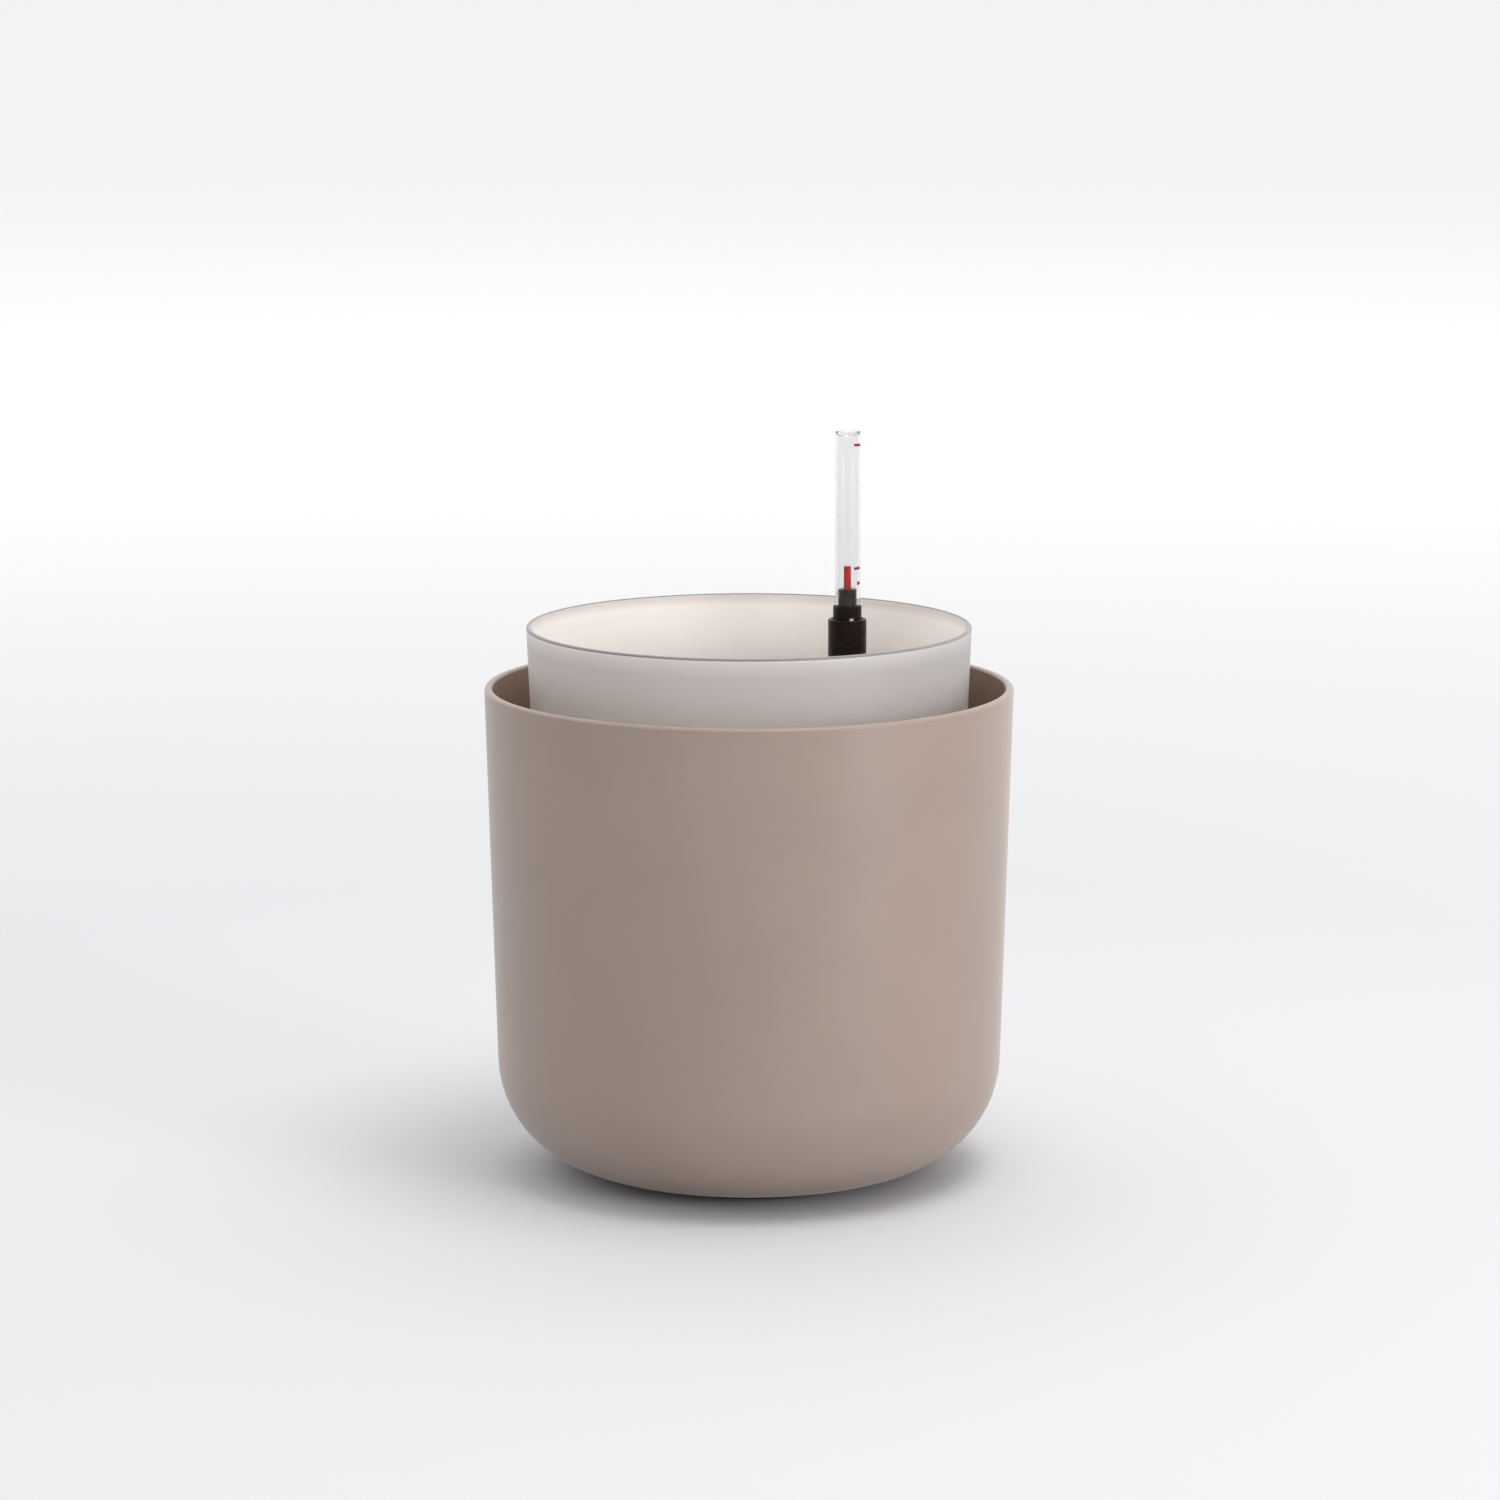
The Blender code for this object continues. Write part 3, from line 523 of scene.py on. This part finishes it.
def make_outer_pot(material, inside):
    low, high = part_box("outer_pot")
    radius, top, base = high.x, high.z, low.z
    floor = base + POT_WALL
    drop = top - base
    # where the tapered wall would meet the plane of the base if nothing rounded it off
    foot = radius - drop * math.tan(POT_TAPER)
    inner_top = radius - POT_RIM_WALL
    inner_foot = foot - POT_WALL + POT_WALL * math.tan(POT_TAPER)
    _, ring_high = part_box("base_ring")
    ring_in = ring_inner_radius()
    seat = base + RING_SEAT_DEPTH
    boss_under, boss_top = base + DRAIN_BOSS_RISE, floor + DRAIN_BOSS_RISE
    slope = DRAIN_BOSS_RADIUS + DRAIN_BOSS_RISE
    corners = [
        (radius, top, 0.0015),
        (foot, base, POT_FILLET),
        (ring_high.x + GAP, base, 0.0003),
        (ring_high.x + GAP, seat, 0.0002),
        (ring_in - GAP, seat, 0.0002),
        (ring_in - GAP, base, 0.0003),
        (slope, base, 0.0008),
        (DRAIN_BOSS_RADIUS, boss_under, 0.0008),
        (DRAIN_HOLE_RADIUS, boss_under, 0.0003),
        (DRAIN_HOLE_RADIUS, boss_top, 0.0004),
        (DRAIN_BOSS_RADIUS, boss_top, 0.0008),
        (slope, floor, 0.0008),
        (inner_foot, floor, POT_FILLET - POT_WALL),
        (inner_top, top, 0.0013),
    ]
    pot = turned("outer_pot_shell", corners, POT_STEPS)
    dressed(pot, "planter", ["outer_pot"], material)
    # Painted light: the inward faces and the floor inside take the lighter, warmer copy of the
    # taupe.
    pot.data.materials.append(inside)
    for face in pot.data.polygons:
        x, y, z = face.center
        inward = face.normal.x * x + face.normal.y * y < 0
        if floor < z < top - POT_RIM_WALL and (inward or face.normal.z > 0):
            face.material_index = 1


def ring_inner_radius():
    """Just over the CAD ring's inner radius, which is its innermost point from the axis."""
    mesh = frame["nodes"]["base_ring"].data
    return min(math.hypot(v.co.x, v.co.y) for v in mesh.vertices) + RING_BORE_MARGIN


def make_base_ring(material):
    low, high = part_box("base_ring")
    inner = ring_inner_radius()
    corners = [
        (high.x, high.z, 0.0003),
        (high.x, low.z, 0.0007),
        (inner, low.z, 0.0007),
        (inner, high.z, 0.0003),
    ]
    ring = turned("anti_slip_ring", corners, POT_STEPS)

    def grooves(work):
        middle = (inner + high.x) / 2
        size = (high.x - inner - RING_GROOVE_INSET, RING_GROOVE_SIZE, RING_GROOVE_SIZE)
        for i in range(RING_GROOVES):
            angle = 2 * math.pi * (i + 0.5) / RING_GROOVES
            box(work, Vector((*polar(middle, angle), low.z)), size, angle)

    carved(ring, [("DIFFERENCE", helper("ring_grooves", grooves))])
    dressed(ring, "planter", ["base_ring"], material)


def make_drain(material, rubber):
    low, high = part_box("drain_plug")
    seal_low, seal_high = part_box("drain_seal")
    head_top = seal_low.z - GAP
    shank = DRAIN_HOLE_RADIUS - GAP
    plug = turned(
        "drain_plug_screw",
        [
            (0.0, high.z, 0),
            (shank, high.z, 0.0008),
            (shank, head_top, 0.0002),
            (high.x, head_top, 0.0005),
            (high.x, low.z, 0.0006),
            (0.0, low.z, 0),
        ],
    )
    slot = helper(
        "coin_slot",
        lambda work: box(work, Vector((0, 0, low.z)), COIN_SLOT),
    )
    carved(plug, [("DIFFERENCE", slot)])
    dressed(plug, "plug", ["drain_plug"], material)
    inner = DRAIN_HOLE_RADIUS + GAP
    seal = turned(
        "drain_plug_seal",
        [
            (seal_high.x, seal_high.z, 0.0003),
            (seal_high.x, seal_low.z, 0.0003),
            (inner, seal_low.z, 0.0003),
            (inner, seal_high.z, 0.0003),
        ],
    )
    dressed(seal, "planter", ["drain_seal"], rubber)


# ---------------------------------------------------------------- inner pot


def leg_places():
    """The middles of the wicks, which stand in the legs."""
    places = []
    for number in (1, 2, 3):
        low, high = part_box(f"wick_rod_{number}")
        places.append(((low.x + high.x) / 2, (low.y + high.y) / 2))
    return places


def gauge_place():
    low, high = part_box("gauge_housing")
    return ((low.x + high.x) / 2, (low.y + high.y) / 2)


def make_inner_pot(outside, inside, rim):
    low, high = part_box("inner_pot")
    places, gauge = leg_places(), gauge_place()
    gauge_angle = math.atan2(gauge[1], gauge[0])
    floor_top = LINER_FLOOR_Z + LINER_FLOOR
    foot = high.x - (high.z - LINER_FLOOR_Z) * math.tan(LINER_TAPER)
    inner_r = high.x - LINER_WALL
    inner_foot = inner_r - (high.z - floor_top) * math.tan(LINER_TAPER)
    corners = [
        (0.0, floor_top, 0),
        (inner_foot, floor_top, LINER_FILLET - LINER_WALL),
        (inner_r, high.z, 0.0004),
        (high.x, high.z, LINER_RIM_EDGE),
        (foot, LINER_FLOOR_Z, LINER_FILLET),
        (0.0, LINER_FLOOR_Z, 0),
    ]
    pot = turned("inner_pot_shell", corners, POT_STEPS)

    def legs_outside(work):
        for place in places:
            radii = (LEG_BOTTOM_RADIUS, LEG_TOP_RADIUS)
            cylinder(work, place, *radii, low.z, LINER_FLOOR_Z + 0.001, LEG_STEPS)

    def legs_inside(work):
        for place in places:
            radii = (LEG_BOTTOM_RADIUS - LEG_WALL, LEG_TOP_RADIUS - LEG_WALL)
            cylinder(work, place, *radii, low.z + LEG_WALL, LINER_FLOOR_Z + 0.004, LEG_STEPS)

    def foot_holes(work):
        for place in places:
            hole(work, place, FOOT_HOLE_RADIUS, low.z - 0.002, low.z + 0.004, HOLE_STEPS)

    def leg_slots(turn):
        width, bottom, top = LEG_SLOT

        def build(work):
            for x, y in places:
                centre = Vector((x, y, (bottom + top) / 2))
                size = (LEG_SLOT_LENGTH, width, top - bottom)
                box(work, centre, size, math.atan2(y, x) + turn)

        return build

    def boss(work):
        hole(work, gauge, BOSS_RADIUS, LINER_FLOOR_Z + 0.0005, BOSS_TOP_Z, BORE_STEPS)

    def boss_bore(work):
        hole(work, gauge, BOSS_BORE, LINER_FLOOR_Z - 0.004, BOSS_TOP_Z + 0.004, BORE_STEPS)

    def drain_holes(work):
        under, over = LINER_FLOOR_Z - 0.003, LINER_FLOOR_Z + 0.006
        for radius, count in DRAIN_RINGS:
            for i in range(count):
                place = polar(radius, gauge_angle + 2 * math.pi * (i + 0.5) / count)
                if math.dist(place, gauge) > BOSS_RADIUS + DRAIN_CLEARANCE:
                    hole(work, place, DRAIN_RADIUS, under, over, FINE_HOLE_STEPS)

    carved(
        pot,
        [
            ("UNION", helper("legs", legs_outside)),
            ("UNION", helper("boss", boss)),
            ("DIFFERENCE", helper("leg_hollows", legs_inside)),
            ("DIFFERENCE", helper("foot_holes", foot_holes)),
            ("DIFFERENCE", helper("leg_slots", leg_slots(0.0))),
            ("DIFFERENCE", helper("leg_cross_slots", leg_slots(math.pi / 2))),
            ("DIFFERENCE", helper("boss_bore", boss_bore)),
            ("DIFFERENCE", helper("drain_holes", drain_holes)),
        ],
    )
    dressed(pot, "liner", ["inner_pot"], outside)
    # Painted light and shade: inward faces take the bright copy, the rest the dark outside copy.
    pot.data.materials.append(inside)
    pot.data.materials.append(rim)
    for face in pot.data.polygons:
        x, y, z = face.center
        inward = face.normal.x * x + face.normal.y * y < 0
        # Painted shade: faces along the rim take the dark rim copy.
        if z > high.z - LINER_RIM_EDGE:
            face.material_index = 2
        elif z > LINER_FLOOR_Z + LINER_FLOOR / 2 and (inward or face.normal.z > 0.9):
            face.material_index = 1


def make_wicks(material):
    """Rods of bonded fibre, with a ridged, slightly ragged surface."""
    for number, place in enumerate(leg_places(), 1):
        low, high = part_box(f"wick_rod_{number}")
        radius = (high.x - low.x) / 2 - 0.0003
        top, bottom = high.z - 0.0002, low.z + 0.0002
        wick = turned(
            f"wick_bundle_{number}",
            [(0.0, top, 0), (radius, top, 0.0012), (radius, bottom, 0.0012), (0.0, bottom, 0)],
            WICK_RIDGES * 4,
            place,
        )
        settled(wick)
        x, y = place
        for vertex in wick.data.vertices:
            dx, dy = vertex.co.x - x, vertex.co.y - y
            angle = math.atan2(dy, dx)
            swell = 1 + 0.022 * math.cos(WICK_RIDGES * angle)
            swell += 0.012 * math.cos(7 * angle + number)
            vertex.co.x, vertex.co.y = x + dx * swell, y + dy * swell
        dressed(wick, "liner", [f"wick_rod_{number}"], material)


def make_grommet(material):
    low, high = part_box("gauge_grommet")
    outer = (high.x - low.x) / 2
    bore = HOUSING_RADIUS + GAP
    sleeve = BOSS_BORE - GAP
    lip = BOSS_TOP_Z + GAP
    grommet = turned(
        "gauge_rubber_sleeve",
        [
            (outer, high.z, 0.0003),
            (outer, lip, 0.0002),
            (sleeve, lip, 0.0002),
            (sleeve, low.z, 0.0004),
            (bore, low.z, 0.0003),
            (bore, high.z, 0.0003),
        ],
        place=gauge_place(),
    )
    dressed(grommet, "liner", ["gauge_grommet"], material)


def make_soil_grid(material):
    low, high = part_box("soil_grid")
    radius = high.x
    under = high.z - GRID_THICKNESS
    skirt_in = GRID_SKIRT_RADIUS - GRID_SKIRT_WALL
    grid = turned(
        "perforated_soil_grid",
        [
            (0.0, high.z, 0),
            (radius, high.z, 0.0007),
            (radius, under, 0.0007),
            (GRID_SKIRT_RADIUS, under, 0.0005),
            (GRID_SKIRT_RADIUS, low.z, 0.0004),
            (skirt_in, low.z, 0.0004),
            (skirt_in, under, 0.0005),
            (0.0, under, 0),
        ],
        POT_STEPS,
    )
    places, gauge = leg_places(), gauge_place()
    gauge_angle = math.atan2(gauge[1], gauge[0])
    hole_low, hole_high = under - 0.003, high.z + 0.003
    bay_low = low.z - 0.003

    def openings(work):
        for number, place in enumerate(places, 1):
            wick_low, wick_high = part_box(f"wick_rod_{number}")
            wide = (wick_high.x - wick_low.x) / 2 + WICK_CLEARANCE
            hole(work, place, wide, hole_low, hole_high, WICK_HOLE_STEPS)
        hole(work, gauge, GRID_BAY, bay_low, hole_high, BORE_STEPS)

    def bay_mouth(work):
        x, y = polar(math.hypot(*gauge) + GRID_BAY, gauge_angle)
        centre = Vector((x, y, (bay_low - 0.001 + hole_high) / 2))
        size = (2 * GRID_BAY - 0.012, 2 * GRID_BAY - 0.004, hole_high - bay_low + 0.002)
        box(work, centre, size, gauge_angle)

    def perforations(work):
        for ring in range(1, GRID_HOLE_RINGS + 1):
            for i in range(6 * ring):
                angle = gauge_angle + math.pi * (2 * i + 1) / (6 * ring)
                place = polar(ring * GRID_HOLE_PITCH, angle)
                clear = all(math.dist(place, p) > GRID_CLEAR_OF_WICK for p in places)
                if clear and math.dist(place, gauge) > GRID_CLEAR_OF_GAUGE:
                    hole(work, place, GRID_HOLE_RADIUS, hole_low, hole_high, HOLE_STEPS)

    def notches(work):
        for i in range(5):
            angle = gauge_angle + math.pi * (i + 1) / 3
            centre = Vector((*polar(GRID_SKIRT_RADIUS, angle), low.z))
            box(work, centre, GRID_NOTCH, angle)

    carved(
        grid,
        [
            ("DIFFERENCE", helper("grid_openings", openings)),
            ("DIFFERENCE", helper("grid_bay", bay_mouth)),
            ("DIFFERENCE", helper("grid_holes", perforations)),
            ("DIFFERENCE", helper("grid_notches", notches)),
        ],
    )
    dressed(grid, "grid", ["soil_grid"], material)


# ---------------------------------------------------------------- gauge


def make_housing(material):
    low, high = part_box("gauge_housing")
    collar_low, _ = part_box("gauge_collar")
    strainer_low, strainer_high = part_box("strainer_cap")
    _, grommet_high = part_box("gauge_grommet")
    place = gauge_place()
    flange = (high.x - low.x) / 2
    radius = (strainer_high.x - strainer_low.x) / 2
    flange_low = grommet_high.z + GAP
    flange_top = flange_low + HOUSING_FLANGE
    ledge = collar_low.z - GAP
    housing = turned(
        "gauge_housing_tube",
        [
            (radius, high.z, 0.0005),
            (radius, flange_top, 0.0004),
            (flange, flange_top, 0.0005),
            (flange, flange_low, 0.0004),
            (radius, flange_low, 0.0002),
            (radius, low.z, 0.0004),
            (HOUSING_BORE, low.z, 0.0003),
            (HOUSING_BORE, ledge - HOUSING_LEDGE, 0.0002),
            (HOUSING_LEDGE_BORE, ledge - HOUSING_LEDGE, 0.0003),
            (HOUSING_LEDGE_BORE, ledge, 0.0003),
            (HOUSING_BORE, ledge, 0.0002),
            (HOUSING_BORE, high.z, 0.0003),
        ],
        place=place,
    )

    def bar(size, bottom, top, turn):
        centre = Vector((*place, (bottom + top) / 2))
        return lambda work: box(work, centre, (*size, top - bottom), turn)

    lug_width, lug_height = LUG_SIZE
    bottom = BAYONET_Z - lug_height / 2 - GAP
    top = BAYONET_Z + lug_height / 2 + GAP
    reach = LUG_RADIUS + GAP
    inner = HOUSING_BORE - 0.0008
    run_corners = [(reach, top, 0), (reach, bottom, 0), (inner, bottom, 0), (inner, top, 0)]
    run = turned("bayonet_run", run_corners, place=place)
    half = BAYONET_TWIST / 2
    window = 2 * (LUG_RADIUS * math.sin(half) + lug_width / 2 * math.cos(half) + GAP)
    window_bar = bar((0.020, window), bottom - 0.001, top + 0.001, half)
    carved(run, [("INTERSECT", helper("bayonet_window", window_bar))])
    width, slot_low, slot_high = HOUSING_SLOT
    entry = bar((2 * reach, lug_width + 2 * GAP), bottom + 0.0001, high.z + 0.001, BAYONET_TWIST)
    flat = (HOUSING_SLOT_LENGTH, width)
    slots = [bar(flat, slot_low, slot_high, k * math.pi / 4) for k in (1, 3)]
    carved(
        housing,
        [
            ("DIFFERENCE", helper("water_slots", slots[0])),
            ("DIFFERENCE", helper("water_cross_slots", slots[1])),
            ("DIFFERENCE", helper("bayonet_entry", entry)),
            ("DIFFERENCE", run),
        ],
    )
    dressed(housing, "gauge", ["gauge_housing"], material)


def make_strainer(material):
    low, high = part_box("strainer_cap")
    housing_low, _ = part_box("gauge_housing")
    place = gauge_place()
    radius = (high.x - low.x) / 2
    rim = housing_low.z - GAP
    spigot = HOUSING_BORE - GAP
    cap = turned(
        "gauge_strainer_cap",
        [
            (0.0, high.z, 0),
            (spigot, high.z, 0.0003),
            (spigot, rim, 0.0002),
            (radius, rim, 0.0003),
            (radius, low.z, 0.0007),
            (0.0, low.z, 0),
        ],
        place=place,
    )

    def holes(work):
        count, ring, size = STRAINER_HOLES
        for i in range(count):
            x, y = polar(ring, 2 * math.pi * i / count)
            middle = (place[0] + x, place[1] + y)
            hole(work, middle, size, low.z - 0.002, high.z + 0.002, FINE_HOLE_STEPS)

    carved(cap, [("DIFFERENCE", helper("strainer_holes", holes))])
    dressed(cap, "gauge", ["strainer_cap"], material)


def make_collar(material, glint_material):
    low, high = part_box("gauge_collar")
    _, housing_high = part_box("gauge_housing")
    tube_low, tube_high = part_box("sight_tube")
    place = gauge_place()
    tube_radius = (tube_high.x - tube_low.x) / 2
    radius = COLLAR_RADIUS
    spigot = HOUSING_BORE - GAP
    ledge = low.z + 0.0020
    collar = turned(
        "gauge_collar_ring",
        [
            (radius, high.z, 0.0004),
            (radius, housing_high.z, 0.0002),
            (spigot, housing_high.z - 0.0006, 0.0002),
            (spigot, low.z, 0.0003),
            (BUSH_RADIUS + GAP, low.z, 0.0003),
            (BUSH_RADIUS + GAP, ledge, 0.0002),
            (tube_radius + GAP, ledge, 0.0002),
            (tube_radius + GAP, high.z, 0.0002),
        ],
        place=place,
    )

    def lugs(work):
        reach = LUG_RADIUS - LUG_ROOT
        for side in (1, -1):
            x = place[0] + side * (LUG_RADIUS - reach / 2)
            box(work, Vector((x, place[1], BAYONET_Z)), (reach, *LUG_SIZE))

    carved(collar, [("UNION", helper("bayonet_lugs", lugs))])
    dressed(collar, "sight_glass", ["gauge_collar"], material)
    # Painted highlight: a pale band at the collar's foot paints a glint.
    glint_band = arc_band("collar_painted_glint", radius, housing_high.z + 0.0003, MARK_HEIGHT, -81, -66)
    dressed(glint_band, "sight_glass", [], glint_material)


def make_bush(material):
    low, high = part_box("guide_bush")
    tube_low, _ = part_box("sight_tube")
    flange = (high.x - low.x) / 2
    bush = turned(
        "pointer_guide_bush",
        [
            (BUSH_RADIUS, high.z, 0.0004),
            (BUSH_RADIUS, tube_low.z - GAP, 0.0002),
            (flange, tube_low.z - GAP, 0.0002),
            (flange, low.z, 0.0002),
            (BUSH_BORE, low.z, 0.0002),
            (BUSH_BORE, high.z, 0.0003),
        ],
        place=gauge_place(),
    )
    dressed(bush, "sight_glass", ["guide_bush"], material)


def make_sight_glass(clear, ink):
    low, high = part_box("sight_tube")
    cap_low, cap_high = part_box("sight_cap")
    place = gauge_place()
    radius = (high.x - low.x) / 2
    tube = turned(
        "sight_glass_tube",
        [
            (radius, high.z, 0.0002),
            (radius, low.z, 0.0002),
            (TUBE_BORE, low.z, 0.0001),
            (TUBE_BORE, high.z, 0.0001),
        ],
        place=place,
    )
    dressed(tube, "sight_glass", ["sight_tube"], clear)
    seat = high.z + GAP
    plug = TUBE_BORE - GAP
    cap = turned(
        "sight_glass_cap",
        [
            (0.0, cap_high.z, 0),
            (radius, cap_high.z, 0.0003),
            (radius, seat, 0.0002),
            (plug, seat, 0.0001),
            (plug, cap_low.z, 0.0003),
            (0.0, cap_low.z, 0),
        ],
        place=place,
    )
    dressed(cap, "sight_glass", ["sight_cap"], clear)
    for number, (height, start, end, rise) in enumerate(MARKS, 1):
        name = f"scale_mark_{number}"
        mark = arc_band(name, radius, height, MARK_HEIGHT, start - 90, end - 90, rise)
        dressed(mark, "sight_glass", [], ink)


def arc_band(name, radius, height, tall, start, end, rise=0.0):
    """A thin band on a cylinder round the gauge's axis, from one angle to another in degrees
    from +X: printed scale marks, and a painted glint on the collar. It may climb by rise along its
    length."""
    x, y = gauge_place()
    mesh = bpy.data.meshes.new(name)
    work = bmesh.new()
    for i in range(BAND_STEPS + 1):
        angle = math.radians(start + (end - start) * i / BAND_STEPS)
        px, py = polar(radius + 0.00001, angle)
        middle = height + rise * (i / BAND_STEPS - 0.5)
        for z in (middle - tall / 2, middle + tall / 2):
            work.verts.new((x + px, y + py, z))
    work.verts.ensure_lookup_table()
    for i in range(BAND_STEPS):
        work.faces.new([work.verts[2 * i + k] for k in (0, 2, 3, 1)])
    work.to_mesh(mesh)
    work.free()
    obj = bpy.data.objects.new(name, mesh)
    bpy.context.scene.collection.objects.link(obj)
    thick = obj.modifiers.new("ink", "SOLIDIFY")
    thick.thickness = 0.00004
    thick.offset = 1.0
    return obj


def make_float(foam, black, red):
    place = gauge_place()
    tip_low, tip_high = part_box("pointer_tip")
    rod_low, rod_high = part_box("float_rod")
    radius = (rod_high.x - rod_low.x) / 2
    spigot = radius * 0.65
    shoulder = tip_low.z - GAP
    rod = turned(
        "float_guide_rod",
        [
            (0.0, rod_high.z, 0),
            (spigot, rod_high.z, 0.0002),
            (spigot, shoulder, 0.0001),
            (radius, shoulder, 0.0002),
            (radius, rod_low.z, 0.0003),
            (0.0, rod_low.z, 0),
        ],
        ROD_STEPS,
        place,
    )
    dressed(rod, "float_unit", ["float_rod"], black)
    tip_r = (tip_high.x - tip_low.x) / 2
    tip = turned(
        "red_pointer_tip",
        [
            (0.0, tip_high.z, 0),
            (tip_r, tip_high.z, 0.0005),
            (tip_r, tip_low.z, 0.0002),
            (spigot + GAP, tip_low.z, 0.0001),
            (spigot + GAP, rod_high.z + GAP, 0.0001),
            (0.0, rod_high.z + GAP, 0),
        ],
        TIP_STEPS,
        place,
    )
    dressed(tip, "float_unit", ["pointer_tip"], red)
    bore = radius + GAP
    for name, node, slot, material, edge in (
        ("foam_float", "float", "float_foam", foam, 0.0012),
        ("float_clip_above", "float_clip_upper", "black_plastic", black, 0.0003),
        ("float_clip_below", "float_clip_lower", "black_plastic", black, 0.0003),
    ):
        low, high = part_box(node)
        outer = (high.x - low.x) / 2
        corners = [
            (outer, high.z, edge),
            (outer, low.z, edge),
            (bore, low.z, 0.0001),
            (bore, high.z, 0.0001),
        ]
        piece = turned(name, corners, FLOAT_STEPS, place)
        dressed(piece, "float_unit", [node], material)


# ---------------------------------------------------------------- studio


def make_camera():
    data = bpy.data.cameras.new("camera")
    data.lens = CAMERA_LENS
    data.sensor_width = 36.0
    camera = bpy.data.objects.new("camera", data)
    bpy.context.scene.collection.objects.link(camera)
    camera.location = (CAMERA_SIDE, -CAMERA_DISTANCE, CAMERA_HEIGHT)
    camera.rotation_euler = (math.pi / 2 - CAMERA_PITCH, 0.0, 0.0)
    bpy.context.scene.camera = camera


def make_floor():
    floor = turned("studio_floor_painted_shade", [(0.0, 0.0, 0), (40.0, 0.0, 0)], 128, closed=False)
    settled(floor)
    floor.data.materials.append(paper_floor_painted_shade())


def make_light(name, place, target, size, power, colour=(1.0, 1.0, 1.0)):
    data = bpy.data.lights.new(name, "AREA")
    data.shape = "RECTANGLE"
    data.size, data.size_y = size
    data.energy = power
    data.color = colour
    light = bpy.data.objects.new(name, data)
    bpy.context.scene.collection.objects.link(light)
    light.location = place
    light.rotation_euler = (Vector(target) - Vector(place)).to_track_quat("-Z", "Y").to_euler()
    return light


def make_world():
    """A white surround, brighter overhead and behind the planter."""
    world = bpy.data.worlds.new("studio")
    bpy.context.scene.world = world
    world.use_nodes = True
    tree = world.node_tree
    background = tree.nodes["Background"]
    background.inputs["Color"].default_value = (1.0, 0.995, 0.99, 1.0)
    place = tree.nodes.new("ShaderNodeTexCoord")
    along = tree.nodes.new("ShaderNodeVectorMath")
    along.operation = "DOT_PRODUCT"
    along.inputs[1].default_value = WORLD_SLOPE
    tree.links.new(place.outputs["Generated"], along.inputs[0])
    level = tree.nodes.new("ShaderNodeMath")
    level.operation = "ADD"
    level.inputs[1].default_value = WORLD_LEVEL
    tree.links.new(along.outputs["Value"], level.inputs[0])
    tree.links.new(level.outputs["Value"], background.inputs["Strength"])


def make_studio():
    make_floor()
    make_world()
    turn, rise = KEY_TURN, KEY_RISE
    flat = KEY_DISTANCE * math.cos(rise)
    place = (flat * math.sin(turn), -flat * math.cos(turn), KEY_DISTANCE * math.sin(rise))
    make_light("key", place, (0, 0, 0.1), KEY_SIZE, KEY_POWER)
    make_light("top", TOP_PLACE, (0, 0, 0.15), TOP_SIZE, TOP_POWER, TOP_COLOUR)
    make_light("back", BACK_PLACE, (0, BACK_PLACE[1], 0), BACK_SIZE, BACK_POWER)


# ---------------------------------------------------------------- build


for old in list(bpy.data.objects):
    bpy.data.objects.remove(old)
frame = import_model()
make_camera()

taupe = taupe_plastic("taupe_soft_touch", TAUPE, TAUPE_SHEEN)
# the lighter, warmer inside copy paints the light in the gap between the pots
taupe_inside_painted_light = taupe_plastic("taupe_soft_touch_inside_painted_light", TAUPE_INSIDE_PAINTED_LIGHT, 0.0)
rubber, black = black_rubber(), black_plastic()
clear = clear_plastic()
make_outer_pot(taupe, taupe_inside_painted_light)
make_base_ring(rubber)
make_drain(taupe, rubber)
# the inner pot's outside, inside and rim are dark, bright and darker copies of one plastic: painted
# shade and light
make_inner_pot(
    frosted_plastic("frosted_polypropylene", *FROSTED_OUTSIDE_PAINTED_SHADE),
    frosted_plastic("frosted_polypropylene_inside_painted_light", *FROSTED_INSIDE_PAINTED_LIGHT),
    frosted_plastic("frosted_polypropylene_rim_painted_shade", *FROSTED_RIM_PAINTED_SHADE),
)
make_wicks(wick_fibre())
make_grommet(rubber)
make_soil_grid(white_plastic())
make_housing(black)
make_strainer(black)
make_collar(black, painted_glint_material())
make_bush(black)
make_sight_glass(clear, red_ink())
make_float(float_foam(), black, red_plastic())
make_studio()
bpy.context.scene.view_settings.view_transform = "Standard"
